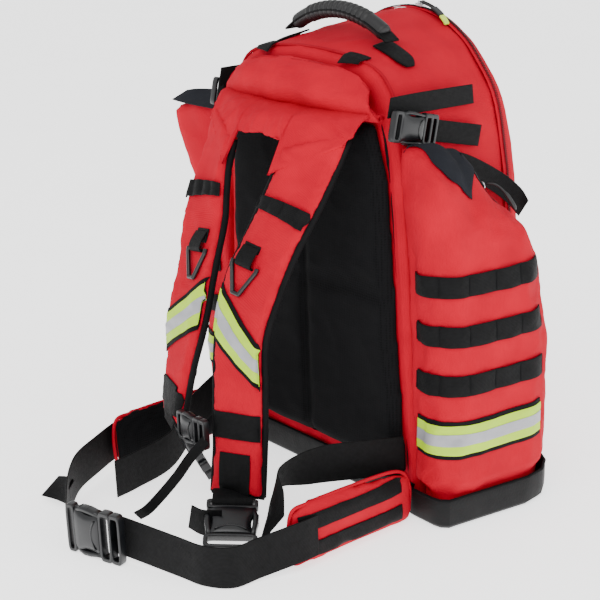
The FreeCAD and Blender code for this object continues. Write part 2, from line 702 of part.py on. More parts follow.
def shoe_patch(end):
    """Webbing sewn on the strap's lower end, which holds the buckle."""
    half = WEB_WIDE / STRAP_WIDTH
    return slab(strap_surface, [-half, half], lambda u: (end - 0.135, end - 0.005), SEAM + 0.3, WEB_THICK, 3)


bands = [strap_band(374, WEB_NARROW, 11), strap_band(132, WEB_NARROW, 0), tab]
save("strap_webbing_right", Part.makeCompound(bands + [shoe_patch(1.0)]))
save("strap_webbing_left", mirrored(Part.makeCompound(bands + [shoe_patch(LEFT_STRAP_END)])))

save_pair("hip_wing", make_wing())
wing_rows = [wing_band(z) for z in (12, 42)]
save("wing_webbing", Part.makeCompound(wing_rows + [mirrored(w) for w in wing_rows]))

grip, core = make_handle()
save("handle_grip", grip)
save("handle_core", core)
pads = [make_pad(x) for x in (-HANDLE_HALF - 12, HANDLE_HALF + 12)]
save("crown_webbing", Part.makeCompound(pads + [make_patch(side) for side in (-1, 1)]))


# ---- buckles and their webbing -------------------------------------------------------------------------
def rounded(v, digits):
    return [round(c, digits) for c in v]


def on_side(side):
    return lambda name, shape: save(f"{name}_{side}", shape)


def buckle_pair(name, web, origin, ex, ey, keep=save):
    """Saves the socket and the plug of a buckle that lies from origin along ex."""
    keep(name + "_socket", placed(make_socket(web), origin, ex, ey))
    keep(name + "_plug", placed(make_plug(web), origin, ex, ey))
    print(name, "slides along", rounded(V(ex).normalize(), 4), "from", rounded(origin, 2))


UP = V(0, 0, 1)
hip_web_z = buckle_sizes(WEB_WIDE)["width"] / 2 + 0.6
hip_at, hip_along = V(-36, -446, hip_web_z), V(0.956, 0.294, 0)
buckle_pair("hip_buckle", WEB_WIDE, hip_at, hip_along, UP)
hip_back = V(0.294, -0.956, 0) * -(buckle_sizes(WEB_WIDE)["thick"] / 2 + RUN + WEB_THICK)

wing_end = POCKET_FRONT - 6 - WING_LENGTH - 1
wing_x = HALF_WIDTH - 9
floor_z = WEB_WIDE / 2 + 0.5
hip_right = [(V(wing_x, wing_end, 36), UP), (V(wing_x - 2, wing_end - 42, 30), UP),
             (V(166, -364, floor_z + 1), UP), (V(140, -384, floor_z), UP), (V(104, -393, floor_z + 1), UP),
             (hip_at + hip_along * 78 + hip_back, UP), (hip_at + hip_along * 56 + hip_back, UP)]
save("hip_web_right", ribbon(hip_right, WEB_WIDE))
hip_left = [(V(-wing_x, wing_end, 36), UP), (V(-166, -330, 36), UP), (V(-146, -364, 36), UP),
            (V(-120, -391, 35), UP), (V(-84, -418, 34), UP), (hip_at - hip_along * 3, UP)]
hip_tail = [(V(-88, -424, floor_z + 2), UP), (V(-122, -410, 23.5), V(0, 0.3, 1)),
            (V(-154, -410, 19), V(0, 0.7, 0.9)), (V(-188, -420, 15), V(0.1, 1, 0.75))]
save("hip_web_left", Part.makeCompound([ribbon(hip_left, WEB_WIDE), ribbon(hip_tail, WEB_WIDE - 8)]))

sternum_at = V(-17, strap_local(125, 0, 0)[0].y - 21, 120)
buckle_pair("sternum_buckle", WEB_NARROW, sternum_at, V(1, 0, 0), UP)


def strap_end(end, lift):
    """Middle of the strap's face at its lower end, and its width direction."""
    p, outward = strap_surface(0, end)
    return p + outward * lift, strap_frame(end)[1]


half_buckle = buckle_sizes(WEB_WIDE)["thick"] / 2
shoe_at, shoe_x = strap_end(1.0, SEAM)
shoe_down, shoe_side = V(0.655, -0.597, -0.466), V(0.651, 0.751, -0.047)
right_at = shoe_at + shoe_down * 8 - shoe_x * 2
buckle_pair("shoulder_buckle", WEB_WIDE, right_at, shoe_down, shoe_side, on_side("right"))
left_at, left_x = strap_end(LEFT_STRAP_END, SEAM - half_buckle)
left_at, left_x = V(-left_at.x, left_at.y, left_at.z), V(left_x.x, -left_x.y, 0)
left_down = V(0.06, 0.44, -0.90)
buckle_pair("shoulder_buckle", WEB_WIDE, left_at + left_down * 6, left_down, left_x, on_side("left"))
root_x = HALF_WIDTH - 15
lower_right = [(V(root_x, PANEL_FACE - 3, 78), UP), (V(156, -165, 86), V(0.1, 0, 1)),
               (V(140, -220, 92), V(0.2, 0.1, 1)), (V(126, -264, 86), V(0.5, -0.3, 0.8)),
               (V(140, -282, 62), V(0.5, 0.1, 0.8)), (V(149, -295, 40), V(0.5, 0.3, 0.75))]
lower_left = [(V(-root_x, PANEL_FACE - 3, 78), UP), (V(-152, -180, 56), V(-0.1, 0, 1)),
              (V(-124, -240, 32), UP), (V(-114, -300, floor_z + 1), UP), (V(-108, -336, floor_z + 1), UP)]
save("lower_web_right", ribbon(lower_right, WEB_WIDE))
save("lower_web_left", ribbon(lower_left, WEB_WIDE))

# upper side compression straps: the straight line of the buckle, 8 mm clear of the body's side
COMPRESSION_X = HALF_WIDTH - 22
comp_along = V(0, 0.972, -0.236)
comp_at = V(COMPRESSION_X, POCKET_FRONT + 4, BODY_TOP - 98)
comp_up = V(0, 0.236, 0.972)
buckle_pair("compression_buckle", WEB_NARROW, comp_at, comp_along, comp_up * -1, save_pair)


def comp_point(x, share, drop=0.0):
    return V(x, 0, 0) + V(0, comp_at.y, comp_at.z) + comp_along * share - V(0, 0, drop)


comp_back = COMPRESSION_X - buckle_sizes(WEB_NARROW)["thick"] / 2 - RUN - WEB_THICK
sewn = ribbon([(comp_point(comp_back - 0.6, 45), comp_up), (comp_point(comp_back - 0.3, 75), comp_up),
               (comp_point(comp_back + 1, 105), comp_up), (comp_point(comp_back + 2, 136), comp_up)],
              WEB_NARROW)
anchor = ribbon([(comp_point(COMPRESSION_X - 1, -2), comp_up), (comp_point(COMPRESSION_X - 6, -9), comp_up),
                 (comp_point(comp_back - 3, -5), comp_up)], WEB_NARROW - 1)
tail_z = comp_at.z + 21
loose = ribbon([(V(comp_back - 2, comp_at.y - 8, tail_z), comp_up), (V(comp_back - 3, -60, tail_z - 1), UP),
                (V(comp_back - 5, -15, tail_z - 3), UP), (V(comp_back - 7, 28, tail_z - 5), V(0, -0.1, 1))],
               WEB_NARROW - 2)
over_cap = ribbon([(V(side_x(-50, 424) + 4, -50, 424), V(0, 0.4, 1)), (V(165, -5, 410), V(0, 0.5, 1)),
                   (V(169, 45, 382), V(0.1, 0.6, 1)), (V(177, 70, 360), V(0.3, 0.5, 1)),
                   (V(181, 82, 343), V(0.5, 0.1, 0.8))], WEB_NARROW)
save_pair("compression_web", Part.makeCompound([sewn, anchor, loose, over_cap]))

# ---- zipper sliders and pulls --------------------------------------------------------------------------
crown_centre = V(0, 0, BODY_TOP - CROWN_R)
slider_y = ZIPPER_Y - 6.5
SLIDER_TALL = 5.0
PULL_LENGTH = 58.0
ZIP_LIFT = SEAM + 1.6 + 1.8


def crown_place(shape, angle, out):
    """Stands a shape on the zipper arch, angle degrees from the top towards +X, out mm above the body."""
    a = radians(angle)
    radial = V(sin(a), 0, cos(a))
    origin = crown_centre + radial * (CROWN_R + out) + V(0, slider_y, 0)
    return placed(shape, origin, V(cos(a), 0, -sin(a)), V(0, 1, 0)), origin


for side, angle in (("right", 6.0), ("left", -33.0)):
    slider, _ = crown_place(make_slider(SLIDER_TALL), angle, ZIP_LIFT)
    save("main_slider_" + side, slider)
    lean = PULL_LENGTH / 2 / CROWN_R * 180 / pi
    pull, pivot = crown_place(make_pull(PULL_LENGTH, 9), angle, ZIP_LIFT + SLIDER_TALL)
    pull.rotate(pivot, V(0, 1, 0), lean if side == "right" else 180 - lean)
    save("main_pull_" + side, pull)
    print("main pull", side, "pivot", rounded(pivot, 2))

zip_along = (POCKET_ZIP[1] - POCKET_ZIP[0]).normalize()
zip_origin, zip_normal = cap_surface(CAP_REF_X, POCKET_ZIP[0].y + 9)
zip_side = zip_normal.cross(zip_along)
slider_at = zip_origin + zip_normal * ZIP_LIFT
save_pair("pocket_slider", placed(make_slider(SLIDER_TALL), slider_at, zip_along, zip_side))
pull_at = slider_at + zip_normal * SLIDER_TALL
save_pair("pocket_pull", placed(make_pull(34, 6), pull_at, zip_along, zip_side))
print("pocket slider along", rounded(zip_along, 4), "side", rounded(zip_side, 4),
      "pull pivot", rounded(pull_at, 2))
print("ring pivot", rounded(ring_at, 2), "axis", rounded(ring_x, 4),
      "outward", rounded(ring_x.cross(ring_up), 4))
print("handle axis", HANDLE_Y, round(HANDLE_Z, 2), "lid hinge", LID_START, LID_BOTTOM)
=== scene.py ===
"""Looks of the trauma backpack: soft goods, webbing, hardware, materials, light and camera.

Lengths in this file are millimetres where a helper takes them, and MM turns them into the frame's metres.
"""
import json
from math import cos, pi, radians, sin

import bmesh
import bpy
from mathutils import Matrix, Vector, noise
from mathutils.bvhtree import BVHTree


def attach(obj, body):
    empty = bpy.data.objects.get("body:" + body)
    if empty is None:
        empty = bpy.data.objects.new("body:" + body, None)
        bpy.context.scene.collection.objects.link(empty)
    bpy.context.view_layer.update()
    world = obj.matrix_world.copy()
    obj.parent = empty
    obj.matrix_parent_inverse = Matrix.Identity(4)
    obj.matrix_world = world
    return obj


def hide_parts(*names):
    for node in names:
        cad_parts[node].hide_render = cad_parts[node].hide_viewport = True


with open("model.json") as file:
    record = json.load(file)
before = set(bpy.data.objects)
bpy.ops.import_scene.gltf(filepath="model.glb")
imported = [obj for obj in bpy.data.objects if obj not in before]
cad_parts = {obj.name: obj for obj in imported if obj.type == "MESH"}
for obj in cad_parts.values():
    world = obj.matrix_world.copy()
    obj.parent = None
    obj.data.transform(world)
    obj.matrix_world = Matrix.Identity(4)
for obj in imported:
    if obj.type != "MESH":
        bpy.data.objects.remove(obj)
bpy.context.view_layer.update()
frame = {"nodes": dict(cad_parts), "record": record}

MM = 0.001
SIDES = {"right": 1, "left": -1}
UP = Vector((0, 0, 1))
BAND_AT_SCALE_ONE = 0.314       # metres between the bands of a wave texture at scale 1
WEB, WIDE_WEB, TAPE_TALL = 25, 50, 46


# ---- node materials ----
class Shader:
    """A Principled material with short calls for the nodes used here."""

    def __init__(self, name, rough, metallic=0.0, specular=0.5):
        self.mat = bpy.data.materials.new(name)
        self.mat.use_nodes = True
        self.tree = self.mat.node_tree
        self.bsdf = self.tree.nodes["Principled BSDF"]
        for socket, value in (("Roughness", rough), ("Metallic", metallic), ("Specular IOR Level", specular)):
            self.bsdf.inputs[socket].default_value = value

    def feed(self, socket, value):
        """Links an output to a socket, or sets a plain number on it."""
        if hasattr(value, "is_output"):
            self.tree.links.new(value, socket)
        else:
            socket.default_value = value

    def node(self, kind, **inputs):
        n = self.tree.nodes.new(kind)
        for key, value in inputs.items():
            self.feed(n.inputs[key.replace("_", " ")], value)
        return n

    def coords(self, uv=False, stretch=(1, 1, 1)):
        where = self.node("ShaderNodeTexCoord").outputs["UV" if uv else "Object"]
        return self.node("ShaderNodeMapping", Vector=where, Scale=stretch).outputs[0]

    def noise(self, where, per_metre, detail=3.0):
        return self.node("ShaderNodeTexNoise", Vector=where, Scale=per_metre, Detail=detail).outputs["Fac"]

    def threads(self, where, pitch, direction):
        wave = self.node("ShaderNodeTexWave", Vector=where, Scale=BAND_AT_SCALE_ONE / pitch,
                         Distortion=0.4, Detail=1.0)
        wave.bands_direction = direction
        return wave.outputs["Fac"]

    def math(self, operation, a, b):
        n = self.node("ShaderNodeMath")
        n.operation = operation
        for socket, value in zip(n.inputs, (a, b)):
            self.feed(socket, value)
        return n.outputs[0]

    def colour(self, factor, dark, light, low=0.3, high=0.7):
        ramp = self.node("ShaderNodeValToRGB", Fac=factor)
        for stop, place, rgb in zip(ramp.color_ramp.elements, (low, high), (dark, light)):
            stop.position, stop.color = place, (*rgb, 1)
        self.tree.links.new(ramp.outputs["Color"], self.bsdf.inputs["Base Color"])

    def rough(self, factor, low, high):
        spread = self.node("ShaderNodeMapRange", Value=factor, To_Min=low, To_Max=high)
        self.tree.links.new(spread.outputs[0], self.bsdf.inputs["Roughness"])

    def bump(self, *heights):
        """Adds up (height, depth in metres) pairs in a chain of bumps."""
        normal = None
        for height, depth in heights:
            n = self.node("ShaderNodeBump", Height=height, Distance=depth, Strength=1.0)
            if normal is not None:
                self.tree.links.new(normal, n.inputs["Normal"])
            normal = n.outputs[0]
        self.tree.links.new(normal, self.bsdf.inputs["Normal"])


def shade(rgb, k):
    return tuple(min(1.0, c * k) for c in rgb)


def woven(name, rgb, pitch=0.0011, rough=0.82, fold=0.0012, vary=0.1):
    """Plain-weave cloth: two thread directions, soft creases and slightly uneven dye."""
    s = Shader(name, rough, specular=0.12)
    where = s.coords()
    weave = s.math("MULTIPLY", s.threads(where, pitch, "X"), s.threads(where, pitch, "Z"))
    weave = s.math("ADD", weave, s.threads(where, pitch, "Y"))
    s.colour(s.noise(where, 22.0, 5.0), shade(rgb, 1 - vary), shade(rgb, 1 + vary))
    s.rough(s.noise(where, 60.0), rough - 0.08, min(1.0, rough + 0.1))
    s.bump((s.noise(s.coords(stretch=(1, 1, 0.5)), 26.0, 2.0), fold), (weave, 0.00012))
    return s.mat


def webbing(name, rgb):
    """Flat nylon webbing: ridges along its length and fine crossing picks."""
    s = Shader(name, 0.62, specular=0.14)
    where = s.coords(uv=True)
    ridges, picks = s.threads(where, 0.0016, "X"), s.threads(where, 0.0009, "Y")
    s.colour(s.noise(where, 90.0, 4.0), shade(rgb, 0.65), shade(rgb, 1.6))
    s.rough(s.noise(where, 200.0), 0.5, 0.8)
    s.bump((ridges, 0.0002), (picks, 0.0001))
    return s.mat


def plastic(name, rgb, rough=0.38, grain=0.00004, vary=0.2):
    """Moulded plastic with a fine spark-eroded grain and slight rubbing."""
    s = Shader(name, rough, specular=0.5)
    where = s.coords()
    s.colour(s.noise(where, 70.0, 4.0), shade(rgb, 1 - vary), shade(rgb, 1 + vary))
    s.rough(s.noise(where, 45.0, 5.0), rough - 0.08, rough + 0.14)
    s.bump((s.noise(where, 2600.0, 1.0), grain))
    return s.mat


def coated(name, rgb):
    """Coated fabric: a coarse leather-like grain under a dull film."""
    s = Shader(name, 0.6, specular=0.22)
    where = s.coords()
    cells = s.node("ShaderNodeTexVoronoi", Vector=where, Scale=420.0).outputs["Distance"]
    s.colour(s.noise(where, 30.0, 5.0), shade(rgb, 0.75), shade(rgb, 1.5))
    s.rough(s.noise(where, 55.0), 0.5, 0.72)
    s.bump((s.noise(where, 24.0, 2.0), 0.001), (cells, 0.0002))
    return s.mat


def mesh_cloth(name, rgb):
    """Spacer mesh: a regular field of small holes, with painted shade darkening each hole's middle."""
    s = Shader(name, 0.88, specular=0.1)
    where = s.coords()
    holes = s.node("ShaderNodeTexVoronoi", Vector=where, Scale=330.0, Randomness=0.15).outputs["Distance"]
    # painted shade: the colour darkens to 0.3 of the mesh colour towards each hole's middle, standing in for
    # shade inside the holes
    s.colour(holes, shade(rgb, 0.3), shade(rgb, 1.5), 0.1, 0.5)
    s.rough(s.noise(where, 60.0), 0.8, 0.95)
    s.bump((s.noise(where, 20.0, 2.0), 0.0012), (holes, 0.0005))
    return s.mat


def tape(name, rgb, rough, metallic, bead):
    """Fluorescent or retroreflective tape with its fine embossed cells."""
    s = Shader(name, rough, metallic=metallic, specular=0.5)
    where = s.coords()
    cells = s.node("ShaderNodeTexVoronoi", Vector=where, Scale=bead).outputs["Distance"]
    s.colour(s.noise(where, 50.0, 4.0), shade(rgb, 0.93), shade(rgb, 1.04))
    s.rough(s.noise(where, 80.0), rough - 0.06, rough + 0.1)
    s.bump((s.noise(where, 30.0, 2.0), 0.0005), (cells, 0.00008))
    return s.mat


def metal(name, rgb):
    s = Shader(name, 0.25, metallic=1.0)
    where = s.coords()
    s.colour(s.noise(where, 200.0, 4.0), shade(rgb, 0.8), rgb)
    s.rough(s.noise(where, 300.0, 4.0), 0.16, 0.4)
    s.bump((s.noise(where, 900.0, 2.0), 0.00003))
    return s.mat


RED = (0.46, 0.0008, 0.0165)
MATS = {
    "red": woven("red_polyester", RED),
    "black": woven("black_lining", (0.003, 0.003, 0.0035), pitch=0.0013, vary=0.3),
    "gusset": woven("grey_gusset", (0.011, 0.012, 0.016), pitch=0.0013, vary=0.25),
    "binding": woven("black_binding", (0.003, 0.003, 0.0035), pitch=0.0009, rough=0.7, fold=0.0002, vary=0.3),
    "mesh": mesh_cloth("spacer_mesh", (0.0035, 0.0035, 0.004)),
    "webbing": webbing("black_webbing", (0.0019, 0.0019, 0.0022)),
    "boot": coated("coated_base", (0.0014, 0.0015, 0.0018)),
    "buckle": plastic("buckle_plastic", (0.0035, 0.004, 0.0052), rough=0.3),
    "ring": plastic("ring_plastic", (0.003, 0.003, 0.0035), rough=0.3),
    "rubber": plastic("grip_rubber", (0.0028, 0.0028, 0.0034), rough=0.48, grain=0.00008),
    "lime": tape("lime_tape", (0.42, 0.66, 0.0), 0.55, 0.0, 900.0),
    "silver": tape("silver_tape", (0.34, 0.34, 0.36), 0.42, 0.25, 700.0),
    "thread": woven("red_thread", shade(RED, 0.75), pitch=0.0006, fold=0.0001),
    "dark_thread": woven("black_thread", (0.004, 0.004, 0.0045), pitch=0.0006, fold=0.0001),
    "nickel": metal("nickel", (0.62, 0.62, 0.64)),
    "lime_rubber": plastic("lime_rubber", (0.62, 0.85, 0.06), rough=0.45),
    "sheet": plastic("stiffener", (0.05, 0.05, 0.052), rough=0.5),
}


# ---- mesh building ----
def finish_piece(obj, body, slot, nodes, *mats):
    """Gives a piece its materials and its body, and hides the frame nodes it stands for; the slot argument is
    not used.
    """
    obj.data.materials.clear()
    for m in mats:
        obj.data.materials.append(MATS[m])
    obj.data.shade_smooth()
    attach(obj, body)
    if nodes:
        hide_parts(*nodes)
    return obj


def new_object(name, verts, faces, uvs=None):
    mesh = bpy.data.meshes.new(name)
    mesh.from_pydata([tuple(v) for v in verts], [], faces)
    mesh.validate()
    if uvs:
        layer = mesh.uv_layers.new(name="UVMap")
        for loop in mesh.loops:
            layer.data[loop.index].uv = uvs[loop.vertex_index]
    obj = bpy.data.objects.new(name, mesh)
    bpy.context.scene.collection.objects.link(obj)
    return obj


def modifier(obj, kind, **settings):
    m = obj.modifiers.new(kind.title(), kind)
    for key, value in settings.items():
        setattr(m, key, value)
    return m


def apply_all(obj):
    """Bakes the object's modifiers into its mesh."""
    bpy.context.view_layer.update()
    done = bpy.data.meshes.new_from_object(obj.evaluated_get(bpy.context.evaluated_depsgraph_get()))
    obj.modifiers.clear()
    old, obj.data = obj.data, done
    bpy.data.meshes.remove(old)
    return obj


def joined(name, objects):
    """One object from several, with their uv maps."""
    bm = bmesh.new()
    for o in objects:
        bm.from_mesh(o.data)
    mesh = bpy.data.meshes.new(name)
    bm.to_mesh(mesh)
    bm.free()
    for o in objects:
        bpy.data.objects.remove(o)
    obj = bpy.data.objects.new(name, mesh)
    bpy.context.scene.collection.objects.link(obj)
    return obj


def mix(a, b, t):
    return a + (b - a) * t


def ramp(t):
    t = max(0.0, min(1.0, t))
    return t * t * (3 - 2 * t)


def between(table, t):
    for (t0, a), (t1, b) in zip(table, table[1:]):
        if t <= t1:
            return mix(a, b, (t - t0) / (t1 - t0))
    return table[-1][1]


def curve_through(points):
    """Smooth curve through points, as a function of t from 0 at the first to 1 at the last."""
    points = [Vector(p) for p in points]
    ends = [points[0] * 2 - points[1]] + points + [points[-1] * 2 - points[-2]]

    def at(t):
        k = min(int(t * (len(points) - 1)), len(points) - 2)
        s = t * (len(points) - 1) - k
        a, b, c, d = ends[k:k + 4]
        bend, twist = a * 2 - b * 5 + c * 4 - d, b * 3 - a - c * 3 + d
        return (b * 2 + (c - a) * s + bend * s ** 2 + twist * s ** 3) * 0.5
    return at


def sheet_mesh(name, rows, thick, closed=False):
    """Solid cloth from rows of points in mm, with uv in metres: u across a row, v from row to row."""
    across = len(rows[0])
    verts = [p * MM for row in rows for p in row]
    us, vs = [0.0], [0.0]
    for k in range(1, across):
        us.append(us[-1] + (rows[0][k] - rows[0][k - 1]).length * MM)
    middle = across // 2
    for k in range(1, len(rows)):
        vs.append(vs[-1] + (rows[k][middle] - rows[k - 1][middle]).length * MM)
    uvs = [(u, v) for v in vs for u in us]
    faces = []
    for i in range(len(rows) - (0 if closed else 1)):
        j = (i + 1) % len(rows)
        for k in range(across - 1):
            faces.append((i * across + k, i * across + k + 1, j * across + k + 1, j * across + k))
    obj = new_object(name, verts, faces, uvs)
    modifier(obj, "SOLIDIFY", thickness=thick * MM, offset=0.0)
    modifier(obj, "BEVEL", width=0.35 * thick * MM, segments=2, limit_method="ANGLE")
    return apply_all(obj)


def ribbon(name, stations, width, thick=1.6, per_span=10):
    """Webbing along stations of (centre, width direction) in mm."""
    centre = curve_through([c for c, w in stations])
    side = curve_through([Vector(w).normalized() * 100 for c, w in stations])
    rows = [[centre(t) + side(t).normalized() * (width * e / 2) for e in (-1, -0.94, -0.4, 0, 0.4, 0.94, 1)]
            for t in steps(0, 1, (len(stations) - 1) * per_span)]
    return sheet_mesh(name, rows, thick)


def tube(name, points, radius, sides=8, closed=False):
    """Round cord through points in mm; radius is a number or a function of the share of its length."""
    n = len(points)
    verts, faces = [], []
    normal = None
    for k, p in enumerate(points):
        if closed:
            ahead = (points[(k + 1) % n] - points[k - 1]).normalized()
        else:
            ahead = (points[min(k + 1, n - 1)] - points[max(k - 1, 0)]).normalized()
        if normal is None:
            normal = ahead.orthogonal().normalized()
        normal = (normal - ahead * normal.dot(ahead)).normalized()
        other = ahead.cross(normal)
        r = radius(k / (n - 1)) if callable(radius) else radius
        for j in range(sides):
            a = 2 * pi * j / sides
            verts.append((p + normal * (r * cos(a)) + other * (r * sin(a))) * MM)
    for k in range(n if closed else n - 1):
        here, there = k * sides, (k + 1) % n * sides
        for j in range(sides):
            i = (j + 1) % sides
            faces.append((here + j, here + i, there + i, there + j))
    if not closed:
        faces += [tuple(range(sides))[::-1], tuple(range((n - 1) * sides, n * sides))]
    return new_object(name, verts, faces)


# ---- padded pieces from the frame's solids ----
def copy_of(node, name):
    obj = bpy.data.objects.new(name, frame["nodes"][node].data.copy())
    bpy.context.scene.collection.objects.link(obj)
    return obj


def soft_copy(name, node, voxel, relax):
    """A copy of a frame solid remeshed evenly and relaxed, ready to be filled."""
    obj = copy_of(node, name)
    obj.data.materials.clear()
    modifier(obj, "REMESH", mode="VOXEL", voxel_size=voxel * MM)
    apply_all(obj)
    bm = bmesh.new()
    bm.from_mesh(obj.data)
    for _ in range(relax):
        bmesh.ops.smooth_vert(bm, verts=bm.verts, factor=0.5,
                              use_axis_x=True, use_axis_y=True, use_axis_z=True)
    bm.to_mesh(obj.data)
    bm.free()
    return obj


def fill(jobs, frames=18):
    """Fills each (object, pressure, cap) like a cushion in one cloth run; no point moves more than cap mm."""
    scene = bpy.context.scene
    starts = {}
    for obj, pressure, cap in jobs:
        starts[obj] = [v.co.copy() for v in obj.data.vertices]
        m = modifier(obj, "CLOTH")
        m.settings.use_pressure = True
        m.settings.uniform_pressure_force = pressure
        m.settings.effector_weights.gravity = 0
        m.settings.quality = 4
        m.settings.tension_stiffness = m.settings.compression_stiffness = 12
        m.settings.shear_stiffness = 6
        m.settings.bending_stiffness = 0.4
        m.collision_settings.use_collision = False
    for f in range(1, frames + 1):
        scene.frame_set(f)
    graph = bpy.context.evaluated_depsgraph_get()
    moved = {obj: [v.co.copy() for v in obj.evaluated_get(graph).data.vertices] for obj, _, _ in jobs}
    for obj, _, cap in jobs:
        obj.modifiers.clear()
        for v, a, b in zip(obj.data.vertices, starts[obj], moved[obj]):
            step = b - a
            if step.length > cap * MM:
                step *= cap * MM / step.length
            v.co = a + step
    scene.frame_set(1)


def reshape(obj, move):
    """Moves every point by move(point, normal), which works in mm."""
    normals = [v.normal.copy() for v in obj.data.vertices]
    for v, n in zip(obj.data.vertices, normals):
        v.co += move(v.co / MM, n) * MM
    obj.data.update()


def folds(seed, depth, size, stretch=(1, 1, 1)):
    """Creases as a move for reshape: depth in mm, size in mm."""
    shift = Vector((seed * 7.3, seed * 3.1, seed * 5.7))

    def move(p, n):
        q = Vector([c * s / size for c, s in zip(p, stretch)]) + shift
        value = noise.noise(q) + 0.5 * noise.noise(q * 2.1)
        return n * depth * ((1 - abs(value)) ** 3 - 0.5)
    return move


def surface_of(obj):
    bm = bmesh.new()
    bm.from_mesh(obj.data)
    tree = BVHTree.FromBMesh(bm)
    bm.free()
    return tree


# ---- body outline, as in the frame ----
BODY_TOP, HARNESS_DROP, HALF_WIDTH, HARNESS_Y, ZIPPER_Y = 567.0, 29.0, 185.0, -96.0, 84.0
CROWN_R, POCKET_FRONT = 135.0, -106.0
HARNESS_ARCH = [(27, 124), (38, 62), (60, 22), (98, 6.5), (140, 1.5)]
ZIPPER_ARCH = [(29, 183), (46, 100)] + [
    (HALF_WIDTH - CROWN_R * sin(radians(a)), CROWN_R * (1 - cos(radians(a)))) for a in (53, 38, 20)]


def arch_share(y):
    return max(0.0, min(1.0, (y - HARNESS_Y) / (ZIPPER_Y - HARNESS_Y)))


def arch_top(y):
    return BODY_TOP - HARNESS_DROP * (1 - sin(pi / 2 * arch_share(y)))


def arch_points(y, inset):
    s = arch_share(y)
    half = [(HALF_WIDTH - mix(a[0], b[0], s) - inset, arch_top(y) - mix(a[1], b[1], s) - inset)
            for a, b in zip(HARNESS_ARCH, ZIPPER_ARCH)]
    return half + [(0.0, arch_top(y) - inset)]


def outline(y, inset, bottom, count=22, rise=6):
    """Full outline at y from the right foot over the crown to the left foot."""
    half = arch_points(y, inset)
    crown = curve_through([(x, 0, z) for x, z in half] + [(-x, 0, z) for x, z in reversed(half[:-1])])
    foot_x = mix(HALF_WIDTH - inset, half[0][0], bottom / half[0][1])
    side = [Vector((mix(foot_x, half[0][0], t), y, mix(bottom, half[0][1], t)))
            for t in steps(0, 1, rise)[:-1]]
    top = [crown(k / (2 * count)) for k in range(2 * count + 1)]
    top = [Vector((p.x, y, p.z)) for p in top]
    return side + top + [Vector((-p.x, y, p.z)) for p in reversed(side)]


def on_crown(x, y):
    """Point and normal on the top of the body above (x, y)."""
    def height(px, py):
        line = sorted((p.x, p.z) for p in outline(py, 0, 300)[5:-5])
        return between(line, px)
    slope_x, slope_y = height(x - 1, y) - height(x + 1, y), height(x, y - 1) - height(x, y + 1)
    return Vector((x, y, height(x, y))), Vector((slope_x, slope_y, 2)).normalized()


# ---- strap, yoke and pocket surfaces, as in the frame ----
STRAP_WIDTH, STRAP_THICK, STRAP_TAPER, LEFT_STRAP_END = 84.0, 13.0, 16.0, 0.90
STRAP_LINE = [(0.00, 83, -153, (0.87, 0.43, 0.22)), (0.09, 79, -172, (0.91, 0.37, 0.16)),
              (0.18, 73, -191, (0.97, 0.20, 0.02)), (0.27, 64, -209, (0.99, 0.06, -0.10)),
              (0.40, 53, -232, (0.98, 0.12, -0.13)), (0.54, 48, -251, (0.99, 0.13, 0.00)),
              (0.68, 52, -262, (0.96, 0.26, 0.05)), (0.84, 56, -272, (0.93, 0.35, 0.05)),
              (1.00, 60, -283, (0.91, 0.41, 0.05))]
strap_centre = curve_through([(x, y, mix(451, 50, f)) for f, x, y, w in STRAP_LINE])
strap_side = curve_through([Vector(w).normalized() * 100 for f, x, y, w in STRAP_LINE])
STRAP_LENGTH = (strap_centre(0) - strap_centre(1)).length


def flip(p, side):
    return Vector((p.x * side, p.y, p.z))


def strap_at(u, v, side=1, out=0.0):
    """Point and outward direction in the strap's thickness, out mm from its middle layer."""
    ahead = (strap_centre(min(1, v + 0.01)) - strap_centre(max(0, v - 0.01))).normalized()
    across = strap_side(v).normalized()
    outward = ahead.cross(across).normalized()
    taper = STRAP_TAPER * max(0.0, min(1.0, (v - 0.5) / 0.4))
    reach = u * (STRAP_WIDTH - taper) / 2 + taper / 2
    return flip(strap_centre(v) + across * reach + outward * out, side), flip(outward, side)


def strap_share(z):
    low, high = 0.0, 1.0
    for _ in range(24):
        middle = (low + high) / 2
        low, high = (middle, high) if strap_centre(middle).z > z else (low, middle)
    return low


ROLL_FOLD_Z = 474.0
YOKE_GAP = 0.33     # share of the yoke's half width that is open between the straps


def roll_at(u, v):
    """The rolled panel: from the crown seam it bulges down to the fold, v = 0.88, and tucks in behind it."""
    middle = 1 - abs(u) ** 3
    w = min(1.0, v / 0.88)
    y = mix(-104.5, -110 - 12 * middle, w) - (7 + 11 * middle) * sin(pi * w ** 0.9)
    z = mix(arch_top(HARNESS_Y) - 12 - 22 * u ** 4, ROLL_FOLD_Z, w)
    tuck = max(0.0, v - 0.88) / 0.12
    return Vector((u * mix(118, 137, w), y + 7 * tuck, z + 3 * sin(pi * tuck)))


def yoke_at(u, v):
    """The yoke: from under the roll's fold, over the shoulders and on down the face of both straps."""
    a = abs(u)
    low_y = between([(0.0, -172), (0.29, -174), (1.0, -131)], a)
    low_z = 441 + between([(0.0, 6), (0.29, 2), (1.0, 28)], a)
    top_y = roll_at(u, 1).y - 1
    w = min(1.0, v * 1.3) if a > YOKE_GAP else v * 0.93
    bulge = 11 * sin(pi * w) * (1 - 0.6 * a * a)
    p = Vector((u * 129, mix(top_y, low_y, w) - bulge, mix(478, low_z, w) + bulge))
    if a <= YOKE_GAP:
        return p
    across = 2 * (a - YOKE_GAP) / (1 - YOKE_GAP) - 1
    reach = mix(0.115, 0.035, ((across + 1) / 2) ** 0.7)
    on_strap = strap_at(across * 1.03, 0.01 + reach * v, 1 if u > 0 else -1, STRAP_THICK / 2 + 1.6)[0]
    return p.lerp(on_strap, ramp((v - 0.45) / 0.5))


